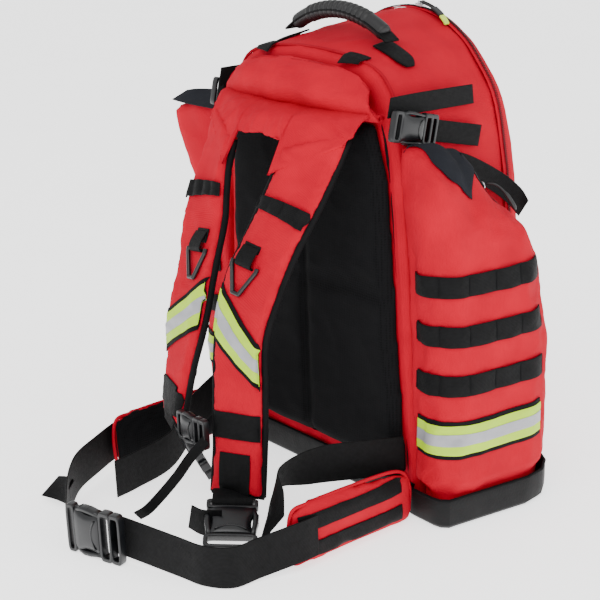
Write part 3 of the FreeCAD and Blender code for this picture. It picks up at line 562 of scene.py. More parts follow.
POCKET_X, CAP_FALL = 252.0, 0.34      # outer face; how steeply the top falls towards it
POCKET_LEVELS = [(2.5, 0, 0), (200, 0, 0), (300, 4, 15), (350, 10, 24), (470, 34, 46)]
CAP_PROFILE = [(-130, 440), (-105, 428), (-60, 400), (-30, 389), (25, 357), (45, 320), (95, 230)]


def pocket_plan(z):
    """Plan of the right pocket at height z, from the front of its harness face round to its rear."""
    inward = between([(level, i) for level, i, _ in POCKET_LEVELS], z)
    back = between([(level, b) for level, _, b in POCKET_LEVELS], z)
    f, x = POCKET_FRONT, POCKET_X - inward
    front = [(120, f + 3), (214, f), (224, f + 2), (232 - inward / 3, f + 9), (x, 15)]
    rear = [(x - 3, 42 - back), (x - 17, 63 - back), (x - 40, 78 - back), (120, 80 - back)]
    return [Vector(p) for p in front + rear]


def along(points, distance):
    """Point at a distance along a polyline."""
    for a, b in zip(points, points[1:]):
        run = (b - a).length
        if distance <= run:
            return a.lerp(b, distance / run)
        distance -= run
    return points[-1]


def pocket_face(z, distance, side):
    """Point and outward direction on the pocket's wall, distance mm along its plan from the inner end."""
    plan = pocket_plan(z)
    p, ahead = along(plan, distance), along(plan, distance + 7) - along(plan, max(0, distance - 7))
    out = Vector((ahead.y, -ahead.x, 0)).normalized()
    return flip(Vector((p.x, p.y, z)), side), flip(out, side)


def cap_height(x, y):
    return between(CAP_PROFILE, y) - CAP_FALL * (x - 200)


def cap_at(x, y, side):
    """Point and outward direction on the pocket's sloping top."""
    normal = Vector((CAP_FALL, cap_height(x, y - 1) - cap_height(x, y + 1), 2)).normalized()
    return flip(Vector((x, y, cap_height(x, y))), side), flip(normal, side)


def draped(name, tree, rows, lift, thick, reach=30):
    """Cloth laid on a surface: rows of (point, outward, extra lift) in mm."""
    laid = []
    for row in rows:
        line = []
        for p, out, extra in row:
            hit = tree.ray_cast((p + out * reach) * MM, -out, 2 * reach * MM)[0]
            line.append((hit / MM if hit is not None else p) + out * (lift + extra + thick / 2))
        laid.append(line)
    return sheet_mesh(name, laid, thick)


def steps(a, b, count):
    return [mix(a, b, k / count) for k in range(count + 1)]


# ---- padded parts ----
# name, frame solid, voxel mm, smoothing rounds, materials, slot, body, fill, pressure, cap mm
PADDED = []
for side in SIDES:
    PADDED += [
        ("strap_fabric_" + side, "shoulder_strap_" + side, 3.6, 3, "red mesh", "red_fabric", "pack",
         0.6, 4, 3),
        ("pocket_fabric_" + side, "side_pocket_" + side, 5.5, 5, "red", "red_fabric", "pack", 0.5, 3, 6),
        ("wing_fabric_" + side, "hip_wing_" + side, 3.6, 3, "red mesh", "red_fabric", "pack", 0.6, 4, 3)]
PADDED += [("back_padding", "back_panel", 4.5, 4, "mesh", "mesh_fabric", "pack", 0.7, 4, 5),
           ("lid_pocket_fabric", "front_pocket", 5.5, 3, "red", "red_fabric", "lid", 0.5, 4, 5)]
PARTS = {row[0]: soft_copy(*row[:4]) for row in PADDED}
fill([(PARTS[row[0]], *row[-2:]) for row in PADDED])


def pocket_flare(side):
    """The left pocket's rim leans well out, and both bags belly a little."""
    lean = 47 if side == "left" else 3

    def move(p, n):
        out = ramp((abs(p.x) - 150) / 70) * ramp((p.z - 300) / 140) * ramp((70 - p.y) / 130)
        return Vector((SIDES[side] * lean, 0, 0.32 * lean)) * out
    return move


def raised_top(p, n):
    """The pocket's top climbs towards the body, where its gusset is sewn on."""
    x = abs(p.x)
    top = ramp((p.z - cap_height(x, p.y) + 30) / 18)
    climb = ramp((234 - x) / 50) * ramp((-6 - p.y) / 36) * mix(0.4, 1, ramp((p.y + 105) / 45))
    return Vector((0, 0, 30)) * (climb * top)


def panel_channels(p, n):
    """Sewn grooves of the back panel: one down its middle and one across."""
    if n.y > -0.3:
        return Vector((0, 0, 0))
    depth = 5.0 * max(2.72 ** -((p.x / 7) ** 2), 0.5 * 2.72 ** -(((p.z - 270) / 12) ** 2))
    return Vector((0, depth, 0))


for side, s in SIDES.items():
    pocket, strap, wing = (PARTS[part + side] for part in ("pocket_fabric_", "strap_fabric_", "wing_fabric_"))
    reshape(pocket, raised_top)
    reshape(pocket, pocket_flare(side))
    reshape(pocket, lambda p, n: n * (-9 * ramp((56 - p.z) / 18)))
    reshape(pocket, folds(3 + s, 3.2, 90, (1, 1, 0.6)))
    reshape(pocket, folds(9 + s, 1.2, 34, (1, 0.7, 1)))
    reshape(strap, folds(5 + s, 1.5, 45, (1, 1, 1.6)))
    reshape(wing, folds(15 + s, 1.4, 40))
reshape(PARTS["back_padding"], panel_channels)
reshape(PARTS["back_padding"], folds(27, 1.2, 60))
reshape(PARTS["lid_pocket_fabric"], folds(31, 2.0, 60))

for name, node, _, _, mats, slot_name, body, fullness, _, _ in PADDED:
    finish_piece(PARTS[name], body, slot_name, [node], *mats.split())
for side, s in SIDES.items():
    for p in PARTS["wing_fabric_" + side].data.polygons:
        p.material_index = 1 if p.normal.x * s < -0.35 else 0
    for p in PARTS["strap_fabric_" + side].data.polygons:
        p.material_index = 1 if p.normal.y > 0.45 else 0


def padded_sheet(name, at, us, vs, thick, creases, node):
    """A quilted sheet of the top: its creases are moves for reshape."""
    obj = sheet_mesh(name, [[at(u, v) for u in us] for v in vs], thick)
    for move in creases:
        reshape(obj, move)
    finish_piece(obj, "pack", "red_fabric", [node], "red")
    return obj


def yoke_wrinkles(p, n):
    """Soft drag lines that fan down from the fold."""
    fan = p.x / max(30.0, ROLL_FOLD_Z + 60 - p.z)
    deep = ramp((ROLL_FOLD_Z + 4 - p.z) / 14) * ramp((p.z - 405) / 30)
    return n * (1.9 * deep * noise.noise(Vector((fan * 9, p.z / 70, 4))))


padded_sheet("crown_roll", roll_at, steps(-1, 1, 60), steps(0, 1, 26), 5,
             [folds(24, 2.2, 48, (0.6, 1, 1.4)), folds(25, 0.8, 20)], "crown_flap")
padded_sheet("yoke_fabric", yoke_at, steps(-1, 1, 90), steps(0, 1, 44), 3,
             [yoke_wrinkles, folds(21, 1.6, 50), folds(22, 0.6, 20)], "yoke")


# ---- body and lid ----
SHELL_ROWS = [(-96, 10), (-92, 3), (-86, 0)] + [(y, 0) for y in range(-76, 80, 10)] + [(84, 0)]
FLOOR_GAP = 2.5


def toward_floor(p, k):
    """Shrinks an outline towards the middle of its floor line."""
    return Vector((p.x * k, p.y, FLOOR_GAP + (p.z - FLOOR_GAP) * k))


def body_shape(inset):
    """Rows of the body's cloth from the zipper to the closed harness wall."""
    rows = [outline(y, i + inset, FLOOR_GAP + inset) for y, i in reversed(SHELL_ROWS)]
    wall = outline(HARNESS_Y + min(inset, 5.5), 10 + inset, FLOOR_GAP + inset)
    return rows + [[toward_floor(p, k) for p in wall] for k in (0.94, 0.85, 0.6, 0.3, 0.02)]


broad_folds = folds(41, 2.2, 80, (0.7, 1, 1))
body = sheet_mesh("body_fabric", body_shape(1.5), 2.6)
reshape(body, broad_folds)
reshape(body, folds(44, 0.9, 32))
finish_piece(body, "pack", "red_fabric", ["main_shell"], "red")
lining = sheet_mesh("body_lining", body_shape(7.8), 1.2)
reshape(lining, lambda p, n: broad_folds(p, n) * ramp((p.y + 86) / 8))
finish_piece(lining, "pack", "collar_fabric", [], "black")


def ring_outline(y, inset, low):
    """Closed outline of the lid at depth y: the arch and a line along its foot."""
    arch = [Vector((p.x, y, p.z)) for p in outline(ZIPPER_Y, inset, low)]
    foot = [Vector((mix(arch[-1].x, arch[0].x, k / 12), y, low)) for k in range(1, 12)]
    return arch + foot


def lid_shape(inset):
    """Rings of the lid from the zipper to its rounded back, inset mm inside its solid."""
    rows = [ring_outline(y - inset, i + inset, 44 + 0.6 * i + inset) for y, i in
            ((84.5 + inset, 0), (90, 1.2), (96.5, 4), (103, 8), (108.5, 13), (112.5, 20), (114.5, 27))]
    centre = Vector((0, 114.5 - inset, 260))
    rows += [[centre + (p - centre) * k for p in rows[-1]] for k in (0.9, 0.75, 0.55, 0.35, 0.15, 0.01)]
    return [[row[k] for row in rows] for k in range(len(rows[0]))]


for name, inset, thick, slot_name, nodes, mat in (
        ("lid_fabric", 1.3, 2.4, "red_fabric", ["lid_panel"], "red"),
        ("lid_lining", 5.6, 1.0, "collar_fabric", [], "black")):
    lid = sheet_mesh(name, lid_shape(inset), thick, closed=True)
    reshape(lid, folds(51, 1.8, 75))
    finish_piece(lid, "lid", slot_name, nodes, mat)

lid_tree = surface_of(PARTS["lid_pocket_fabric"])


def on_lid(x, z):
    return Vector((x, 136, z)), Vector((0, 1, 0))


# piece, material, share of the backing's height, lift and thickness in mm
TAPE_LAYERS = [("backing", "binding", 1.0, 0.8, 1.2), ("lime", "lime", 0.78, 2.0, 0.6),
               ("silver", "silver", 0.30, 2.6, 0.5)]


def tape_stack(name, tree, place, height, us, body_name, slot_name, nodes):
    """Reflective band of a black backing, lime tape and a silver stripe; place(u, h), h from its middle."""
    for label, mat, share, lift, thick in TAPE_LAYERS:
        tall = height * share
        rows = [[(*place(u, h), 0.0) for h in steps(-tall / 2, tall / 2, 10)] for u in us]
        band = draped(f"{name}_{label}", tree, rows, lift, thick)
        finish_piece(band, body_name, slot_name, nodes if label == "backing" else [], mat)


LID_BAND_END = 92.0
tape_stack("lid_tape", lid_tree, lambda x, h: on_lid(x, 133 + h), TAPE_TALL,
           steps(-LID_BAND_END, LID_BAND_END, 24), "lid", "reflective", ["front_reflective"])
lid_bands = [draped(f"lid_band_{z}", lid_tree,
                    [[(*on_lid(x, z + h), 1.6 * abs(sin(pi * x / 36.8))) for h in steps(0, WEB, 4)]
                     for x in steps(-LID_BAND_END, LID_BAND_END, 50)], 0.4, 1.6) for z in (190, 240)]
finish_piece(joined("lid_webbing", lid_bands), "lid", "webbing", ["front_webbing"], "webbing")


# ---- base ----
def boot_plan():
    """Footprint of the body and both pockets, right half then left half."""
    pocket = [Vector((p.x, min(p.y, ZIPPER_Y))) for p in pocket_plan(FLOOR_GAP)[1:-1]]
    right = [Vector((174, HARNESS_Y)), Vector((174, POCKET_FRONT + 1))] + pocket + [Vector((188, ZIPPER_Y))]
    corners = right + [Vector((-p.x, p.y)) for p in reversed(right)]
    plan = []
    for a, b in zip(corners, corners[1:] + corners[:1]):
        count = max(1, round((b - a).length / 9))
        plan += [a.lerp(b, k / count) for k in range(count)]
    return plan


def boot_ring(plan, out, z):
    ring = []
    for k, p in enumerate(plan):
        ahead = plan[(k + 2) % len(plan)] - plan[k - 2]
        ring.append(Vector((p.x, p.y, z)) + Vector((ahead.y, -ahead.x, 0)).normalized() * out)
    return ring


plan = boot_plan()
levels = [boot_ring(plan, out, z) for out, z in ((1.6, 38), (2.2, 30), (2.0, 16), (1.4, 6), (-3, 1.2))]
levels += [[Vector((p.x * k, p.y * k, 1.1)) for p in levels[-1]] for k in (0.9, 0.5, 0.02)]
boot = sheet_mesh("base_fabric", [[level[k] for level in levels] for k in range(len(plan))], 2.0, closed=True)
finish_piece(boot, "pack", "boot_fabric", ["base_boot"], "boot")
hem = tube("base_hem", boot_ring(plan, 2.2, 37.5), 2.0, closed=True)
finish_piece(hem, "pack", "boot_fabric", [], "binding")


# ---- pocket dressing ----
FACE_START, BAND_END = 66.0, 248.0      # along the plan: from under the hip wing's root to the side's middle
BAND_TOPS, LOOP = (309, 250, 191), 36.4     # webbing rows, and the length of one of their loops
POCKET_TAPE_Z = 112.0
gusset_low = curve_through([(170, -101, 0), (205, -101, 0), (219, -87, 0), (227, -56, 0)])
gusset_high = curve_through([(164, -101, 0), (170, -82, 0), (180, -58, 0), (192, -36, 0)])
for side, s in SIDES.items():
    tree = surface_of(PARTS["pocket_fabric_" + side])
    places = steps(FACE_START, BAND_END, 60)
    bands, tacks = [], []
    for top in BAND_TOPS:
        rows = [[(*pocket_face(top - WEB + h, d, s), 1.8 * abs(sin(pi * (d - FACE_START) / LOOP)))
                 for h in steps(0, WEB, 4)] for d in places]
        bands.append(draped("band", tree, rows, 0.4, 1.7))
        for k in range(6):
            d = FACE_START + LOOP * k
            rows = [[(*pocket_face(top - WEB + 2 + h, min(d + w, BAND_END - 1), s), 0)
                     for h in steps(0, WEB - 4, 3)] for w in (-1.1, 1.1)]
            tacks.append(draped("tack", tree, rows, 2.0, 0.6))
    finish_piece(joined("pocket_bands_" + side, bands), "pack", "webbing", ["pocket_webbing_" + side],
                 "webbing")
    finish_piece(joined("pocket_tacks_" + side, tacks), "pack", "webbing", [], "dark_thread")
    tape_stack("pocket_tape_" + side, tree, lambda d, h: pocket_face(POCKET_TAPE_Z + h, d, s), TAPE_TALL,
               places, "pack", "reflective", ["pocket_reflective_" + side])
    rows = [[(*cap_at(*gusset_low(t).lerp(gusset_high(t), k).xy, s), 0.0) for k in steps(0, 1, 8)]
            for t in steps(0, 1, 18)]
    collar = draped("pocket_gusset_" + side, tree, rows, 2.6, 1.4, reach=70)
    finish_piece(collar, "pack", "collar_fabric", ["pocket_collar_" + side], "gusset")
mouth_low = curve_through([(-264, -108, 447), (-235, -111, 447), (-205, -111, 447), (-172, -110, 447)])
mouth_high = curve_through([(-254, -90, 458), (-238, -86, 461), (-214, -76, 462), (-178, -74, 464)])
mouth = sheet_mesh("pocket_mouth_left", [[mouth_low(t).lerp(mouth_high(t), k) for k in steps(0, 1, 6)]
                                         for t in steps(0, 1, 24)], 1.6)
finish_piece(mouth, "pack", "collar_fabric", [], "gusset")
ZIP_X, ZIP_Y = 200.0, (-38.0, 30.0)
zips, teeth = [], []
for side, s in SIDES.items():
    tree = surface_of(PARTS["pocket_fabric_" + side])
    rows = [[(*cap_at(x, y, s), 0.0) for x in steps(ZIP_X - 8, ZIP_X + 8, 4)] for y in steps(*ZIP_Y, 20)]
    zips.append(draped("zip", tree, rows, 0.3, 1.0, reach=70))
    rows = [[(*cap_at(x, y, s), 0.4 * (k % 2)) for x in steps(ZIP_X - 2.4, ZIP_X + 2.4, 2)]
            for k, y in enumerate(steps(*ZIP_Y, 70))]
    teeth.append(draped("teeth", tree, rows, 1.3, 1.0, reach=70))
finish_piece(joined("pocket_zip_tapes", zips), "pack", "zipper_tape", ["pocket_zippers"], "binding")
finish_piece(joined("pocket_zip_teeth", teeth), "pack", "zipper_tape", [], "rubber")


# ---- main zipper ----
def zip_row(y, out):
    return outline(y, -out, 56)


COIL_Y, COIL_TURN = 77.5, 2.4
zip_cloth = sheet_mesh("zip_tape", [zip_row(y, 1.4) for y in (71, 74, COIL_Y, 81, ZIPPER_Y)], 1.2)
finish_piece(zip_cloth, "pack", "zipper_tape", ["main_zipper"], "red")
path = zip_row(COIL_Y, 2.9)
length = sum((b - a).length for a, b in zip(path, path[1:]))
coil = [along(path, k * COIL_TURN / 2) + Vector((0, 2.1 * (-1) ** k, 0))
        for k in range(int(2 * length / COIL_TURN))]
finish_piece(tube("zip_coil", coil, 0.8, sides=5), "pack", "zipper_tape", [], "rubber")


# ---- strap dressing ----
RING_PIVOT = Vector((46.0, -235.97, 317.29))
RING_ACROSS, RING_OUT = Vector((0.9865, 0.0929, -0.1349)), Vector((0.1375, -0.9174, 0.3734))
RING_UP = RING_OUT.cross(RING_ACROSS)
TAB_PATH = [(24, -3.4), (12, -3.4), (0, -4.2), (-4.0, -1.6), (-4.0, 1.8), (-0.5, 4.4), (8, 3.4), (20, -1.2)]


def strap_place(z, slope, side):
    """A place on the strap's face for a band at height z: across by u, h mm down from its middle line."""
    t = strap_share(z)

    def place(u, h):
        return strap_at(u, t + (h + u * slope) / STRAP_LENGTH, side, STRAP_THICK / 2)
    return place


def strap_strip(tree, z, slope, side, puff=0.0):
    """A row of webbing over the strap's face, which puffs out between its tacks."""
    place = strap_place(z, slope, side)
    rows = [[(*place(u, h), puff * abs(sin(2 * pi * u))) for h in steps(-WEB / 2, WEB / 2, 4)]
            for u in steps(-0.94, 0.94, 28)]
    return draped("strip", tree, rows, 0.4, 1.7)


for side, s in SIDES.items():
    end = 1.0 if side == "right" else LEFT_STRAP_END
    tree = surface_of(PARTS["strap_fabric_" + side])
    upper, lower = strap_strip(tree, 374, 11, s, puff=2.6), strap_strip(tree, 132, 0, s)
    half = WIDE_WEB / STRAP_WIDTH
    patch = draped("patch", tree, [[(*strap_at(u, v, s, STRAP_THICK / 2), 0.0) for u in steps(-half, half, 8)]
                                   for v in steps(end - 0.098, end + 0.012, 10)], 0.4, 1.8)
    tab_line = [(flip(RING_PIVOT + RING_UP * a + RING_OUT * b, s), flip(RING_ACROSS, s)) for a, b in TAB_PATH]
    tab = ribbon("tab", tab_line, WEB, 1.5)
    finish_piece(joined("strap_bands_" + side, [upper, lower, patch, tab]), "pack", "webbing",
                 ["strap_webbing_" + side], "webbing")
    tape_stack("strap_tape_" + side, tree, strap_place(230, 26, s), 52, steps(-0.93, 0.93, 40), "pack",
               "reflective", ["strap_reflective_" + side])
    edges = [tube("edge", [strap_at(u, v, s, -1.0)[0] for v in steps(0.02, end, 50)], 3.9, sides=10)
             for u in (-0.97, 0.97)]
    edges.append(tube("edge", [strap_at(u, end, s, -1.0)[0] for u in steps(-1, 1, 16)], 3.6, sides=10))
    finish_piece(joined("strap_binding_" + side, edges), "pack", "webbing", [], "binding")


# ---- hip wings ----
WING_ROOT_Y, WING_LENGTH, WING_LEAN = -112.0, 178.0, 4.0


def wing_point(x, y, z, side):
    """A point that leans inwards towards the wing's rear end."""
    return flip(Vector((x - WING_LEAN * (WING_ROOT_Y - y) / WING_LENGTH, y, z)), side)


WING_RIM = [(-112, 12), (-112, 46), (-132, 68), (-200, 73), (-262, 73), (-290, 66), (-290, 10), (-262, 4),
            (-200, 4), (-132, 4)]
rim_at = curve_through([(0, y, z) for y, z in WING_RIM + WING_RIM[:1]])
wing_bands = []
for side, s in SIDES.items():
    tree = surface_of(PARTS["wing_fabric_" + side])
    for z in (11, 45):
        rows = [[(wing_point(188, y, z + h, s), Vector((s, 0, 0)), 0.0) for h in steps(0, 19, 4)]
                for y in steps(-132, -284, 30)]
        wing_bands.append(draped("band", tree, rows, 0.4, 1.6))
    rim = [wing_point(180, rim_at(t).y, rim_at(t).z, s) for t in steps(0, 1, 80)[:-1]]
    finish_piece(tube("wing_binding_" + side, rim, 2.2, 10, closed=True), "pack", "red_fabric", [], "red")
finish_piece(joined("wing_bands", wing_bands), "pack", "webbing", ["wing_webbing"], "webbing")


# ---- seams and top ----
finish_piece(tube("crown_piping", outline(-88, 0.2, 40), 1.9), "pack", "red_fabric", [], "thread")
roll_seam = [roll_at(u, 0.02) - Vector((0, 1, -1)) for u in steps(-1, 1, 30)]
finish_piece(tube("crown_roll_piping", roll_seam, 1.6), "pack", "red_fabric", [], "thread")

PATCH_X, CROWN_EDGE_Y, HANDLE_Y = 77.0, -95.0, -43.0
PATCH_CORNERS = [Vector(c) for c in ((-14, -104), (14, -98), (15, -78), (-13, -84))]


def patch_point(u, v, side):
    """A point of the patch that folds over the crown's harness edge."""
    a, b, c, d = PATCH_CORNERS
    q = a.lerp(b, u).lerp(d.lerp(c, u), v)
    p, n = on_crown(side * (PATCH_X + q.x), max(q.y, CROWN_EDGE_Y))
    over = q.y - CROWN_EDGE_Y
    return p + n * 2.2 if over > 0 else p + n * 2 + Vector((0, over, over * 0.9))


def tongue_row(x, side):
    """Points across the tongue under the handle's end, which is round at its tip."""
    half = 13 * (1 - max(0.0, (x - 106) / 14) ** 2 * 0.75)
    places = [on_crown(side * x, y) for y in steps(HANDLE_Y - half, HANDLE_Y + half, 4)]
    return [p + n * 2.2 for p, n in places]


patches = [sheet_mesh("patch", [[patch_point(u, v, s) for u in steps(0, 1, 6)] for v in steps(0, 1, 6)], 1.8)
           for s in (-1, 1)]
patches += [sheet_mesh("tongue", [tongue_row(x, s) for x in steps(70, 118, 16)], 2.2) for s in (-1, 1)]
finish_piece(joined("crown_tongues", patches), "pack", "webbing", ["crown_webbing"], "webbing")


# ---- carry handle ----
HANDLE_CENTRE, HANDLE_R = Vector((0, HANDLE_Y, 427.5)), 150.4


def handle_point(degrees):
    a = radians(degrees)
    return HANDLE_CENTRE + Vector((sin(a), 0, cos(a))) * HANDLE_R


def grip_radius(t):
    """Smooth sleeves at both ends and a ribbed middle."""
    x = abs(2 * t - 1)
    if x > 0.97:
        return 8.6
    if x > 0.66:
        return 9.6
    return 8.8 + 1.9 * abs(sin(13 * pi * (t - 0.17) / 0.66)) ** 0.6


grip = tube("handle_sleeve", [handle_point(a) for a in steps(-31, 31, 220)], grip_radius, 24)
finish_piece(grip, "carry_handle", "grip_rubber", ["handle_grip"], "rubber")
strap_line = [(handle_point(a), Vector((0, 1, 0))) for a in steps(-36.5, 36.5, 12)]
finish_piece(ribbon("handle_webbing", strap_line, 22, 2.4, 4), "carry_handle", "webbing", ["handle_core"],
             "webbing")


# ---- free webbing ----
def webbing_piece(name, strips, body, nodes):
    """Joined ribbons from (stations, width) pairs."""
    parts = [ribbon(f"strip_{k}", stations, width) for k, (stations, width) in enumerate(strips)]
    finish_piece(joined(name, parts), body, "webbing", nodes, "webbing")


def stations_of(rows):
    """(centre, width direction) pairs from rows of x, y, z and a direction, which is upright if left out."""
    return [(Vector(row[:3]), Vector(row[3:] or UP)) for row in rows]


HIP_AT, HIP_ALONG = Vector((-36, -446, 31.6)), Vector((0.956, 0.294, 0)).normalized()
HIP_BACK = Vector((0.294, -0.956, 0)) * -9
hip_right = stations_of([(190, -262, 38), (189.5, -280, 37.5), (184, -304, 35), (174, -333, 30),
                         (166, -364, 26.5), (140, -384, 26), (104, -393, 26.5)])
hip_right += [(HIP_AT + HIP_ALONG * d + HIP_BACK, UP) for d in (78, 56)]
webbing_piece("hip_webbing_right", [(hip_right, WIDE_WEB)], "pack", ["hip_web_right"])
hip_left = stations_of([(-190, -262, 38), (-188, -284, 37), (-168, -326, 36), (-146, -364, 36),
                        (-120, -391, 35), (-84, -418, 34)]) + [(HIP_AT - HIP_ALONG * 3, UP)]
hip_tail = stations_of([(-84, -420, 31), (-112, -398, 27, 0, 0.3, 1), (-140, -392, 22, 0, 0.7, 0.9),
                        (-166, -396, 18, 0.1, 1, 0.75)])
webbing_piece("hip_webbing_left", [(hip_left, WIDE_WEB), (hip_tail, 32)], "pack", ["hip_web_left"])
LOWER_ROUTES = {
    "right": [(170, -110, 78), (156, -165, 86, 0.1, 0, 1), (140, -220, 92, 0.2, 0.1, 1),
              (126, -264, 86, 0.5, -0.3, 0.8), (140, -282, 62, 0.5, 0.1, 0.8),
              (149, -295, 40, 0.5, 0.3, 0.75)],
    "left": [(-170, -110, 78), (-152, -180, 56, -0.1, 0, 1), (-124, -240, 32), (-114, -300, 26.5),
             (-108, -336, 26.5)]}
for side, route in LOWER_ROUTES.items():
    webbing_piece("lower_webbing_" + side, [(stations_of(route), WIDE_WEB)], "pack", ["lower_web_" + side])

COMP_AT = Vector((163, -102, 469))
COMP_ALONG, COMP_UP = Vector((0, 0.972, -0.236)), Vector((0, 0.236, 0.972))


def comp_stations(rows):
    """Stations from rows of x and the distance along the compression strap from its buckle."""
    return [(Vector((x, COMP_AT.y, COMP_AT.z)) + COMP_ALONG * d, COMP_UP) for x, d in rows]


COMP_STRIPS = [
    (comp_stations([(154.9, 45), (155.2, 75), (156.5, 105), (157.5, 136)]), WEB),
    (comp_stations([(162, -2), (157, -9), (152.5, -5)]), 24),
    (stations_of([(153.5, -110, 490, *COMP_UP), (152.5, -60, 489), (150.5, -15, 487),
                  (148.5, 28, 485, 0, -0.1, 1)]), 23),
    (stations_of([(160, -50, 424, 0, 0.4, 1), (165, -5, 410, 0, 0.5, 1), (169, 45, 382, 0.1, 0.6, 1),
                  (177, 70, 360, 0.3, 0.5, 1), (181, 82, 343, 0.5, 0.1, 0.8)]), WEB)]
for side, s in SIDES.items():
    strips = [([(flip(c, s), flip(w, s)) for c, w in strip], width) for strip, width in COMP_STRIPS]
    webbing_piece("compression_webbing_" + side, strips, "pack", ["compression_web_" + side])

TAIL_SIDE = (0.60, 0.40, -0.66)
sternum_tail = stations_of([(38, -299, 116, 0.5, 0.3, -0.75), (31, -318, 97, *TAIL_SIDE),
                            (36, -345, 80, *TAIL_SIDE), (22, -372, 49, *TAIL_SIDE), (6, -380, 35, *TAIL_SIDE)])
webbing_piece("sternum_tail", [(sternum_tail, 12)], "pack", [])
shoulder_tail = stations_of([(86, -318, 34, 0.1, 0, 1), (66, -330, 31, 0.1, 0, 1), (46, -334, 33, 0.3, 0, 1)])
webbing_piece("shoulder_tail", [(shoulder_tail, 34)], "pack", [])


# ---- mouldings ----
def moulded(node, body, mat, slot_name, bevel):
    """The frame's moulding with its edges rounded."""
    obj = copy_of(node, node + "_moulding")
    bm = bmesh.new()
    bm.from_mesh(obj.data)
    bmesh.ops.remove_doubles(bm, verts=bm.verts, dist=1e-5)
    bmesh.ops.dissolve_limit(bm, angle_limit=radians(2), verts=bm.verts, edges=bm.edges)
    bm.to_mesh(obj.data)
    bm.free()
    modifier(obj, "BEVEL", width=bevel * MM, segments=3, limit_method="ANGLE", angle_limit=radians(30))
    modifier(obj, "WEIGHTED_NORMAL", keep_sharp=True)
    obj.data.shade_smooth()
    apply_all(obj)
    finish_piece(obj, body, slot_name, [node], mat)


def rounded_box(w, t, count=20, power=3.2):
    """Section of a moulding: a rectangle of half sizes w and t with full corners."""
    points = []
    for k in range(count):
        c, d = cos(2 * pi * k / count), sin(2 * pi * k / count)
        r = (abs(c) ** power + abs(d) ** power) ** (-1 / power)
        points.append((c * r * w, d * r * t))
    return points


def lofted(stations, origin, ex, ey):
    """Closed moulding through sections of (x, half width, half thickness, sideways shift) in mm."""
    ez = ex.cross(ey)
    rows = [[(origin + ex * x + ey * (y + a) + ez * b) * MM for a, b in rounded_box(w, t)]
            for x, w, t, y in stations]
    n = len(rows[0])
    faces = [(i * n + k, i * n + (k + 1) % n, (i + 1) * n + (k + 1) % n, (i + 1) * n + k)
             for i in range(len(rows) - 1) for k in range(n)]
    faces += [tuple(range(n))[::-1], tuple(range((len(rows) - 1) * n, len(rows) * n))]
    return new_object("loft", [p for row in rows for p in row], faces)


def window_frame(x0, x1, half, rim, bar, thick, origin, ex, ey):
    """Rounded frame from x0 to x1 round one opening: rim wide at its sides and bar wide at its ends."""
    ez = ex.cross(ey)

    count = 40

    def loop(inset_x, inset_y, z, power):
        centre = origin + ex * ((x0 + x1) / 2) + ez * z
        return [(centre + ex * a + ey * b) * MM
                for a, b in rounded_box((x1 - x0) / 2 - inset_x, half - inset_y, count, power)]
    loops = [loop(0, 0, -thick / 2, 6), loop(0, 0, thick / 2, 6), loop(bar, rim, thick / 2, 9),
             loop(bar, rim, -thick / 2, 9)]
    faces = []
    for i in range(4):
        here, there = i * count, (i + 1) % 4 * count
        for k in range(count):
            m = (k + 1) % count
            faces.append((here + k, here + m, there + m, there + k))
    obj = new_object("frame", [p for one in loops for p in one], faces)
    modifier(obj, "BEVEL", width=0.9 * MM, segments=3, limit_method="ANGLE", angle_limit=radians(50))
    return apply_all(obj)


# sections of the barrel and of a sprung arm: shares of the length, half width, thickness and sideways place
BARREL = [(0.23, 0.90, 0.72), (0.30, 0.94, 0.95), (0.42, 0.84, 1.08), (0.58, 0.74, 1.14), (0.76, 0.74, 1.14),
          (0.90, 0.80, 1.08), (0.97, 0.84, 1.0), (1.0, 0.82, 0.88)]
ARM = [(0.28, 0.05, 0.45, 0.80), (0.34, 0.09, 0.72, 0.84), (0.50, 0.11, 0.86, 0.90),
       (0.70, 0.11, 0.88, 0.885), (0.88, 0.10, 0.84, 0.84)]
GRIP_RIDGES = (0.44, 0.52, 0.60, 0.68)


def buckle(name, web, origin, ex, ey, side_word, plug_body, longer=0.0):
    """Side-release buckle: a waisted barrel with a webbing bar, and a ladder frame with two sprung arms."""
    ex = ex.normalized()
    ey = (ey - ex * ey.dot(ex)).normalized()
    w, t, length, tail = web / 2 + 6, 4 + web * 0.06, 16 + web * 0.64 + longer, 14 + web * 0.34
    origin = origin - ex * longer

    def at(x, y, z):
        return origin + ex * x + ey * y + ex.cross(ey) * z
    socket = [window_frame(0, 13, w - 1, 4, 3.6, 1.5 * t, origin, ex, ey)]
    socket.append(lofted([(a * length, b * w, c * t, 0) for a, b, c in BARREL], origin, ex, ey))
    for face in (-1, 1):
        smile = [at(length * (0.80 + 0.12 * k * k), w * 0.6 * k, face * t * 1.10) for k in steps(-1, 1, 12)]
        socket.append(tube("latch", smile, 0.07 * t + 0.5))
    finish_piece(joined(f"{name}_socket{side_word}_shell", socket), "pack", "buckle_plastic",
                 [f"{name}_socket{side_word}"], "buckle")
    plug = []
    for s in (-1, 1):
        arm = ARM + [(1.0 + 1.5 / length, 0.10, 0.8, 0.82)]
        plug.append(lofted([(a * length, b * w, c * t, s * d * w) for a, b, c, d in arm], origin, ex, ey))
        for k in GRIP_RIDGES:
            plug.append(tube("grip", [at(k * length, s * w * 0.99, z) for z in (-t / 2, 0, t / 2)], 0.55, 6))
    x0 = length + 0.5
    middle = x0 + tail * 0.52
    plug.append(window_frame(x0, middle + 1.6, w, 5, 3.4, 1.7 * t, origin, ex, ey))
    plug.append(window_frame(middle - 1.6, x0 + tail - 0.5, w, 5, 3.2, 1.5 * t, origin, ex, ey))
    finish_piece(joined(f"{name}_plug{side_word}_shell", plug), plug_body, "buckle_plastic",
                 [f"{name}_plug{side_word}"], "buckle")


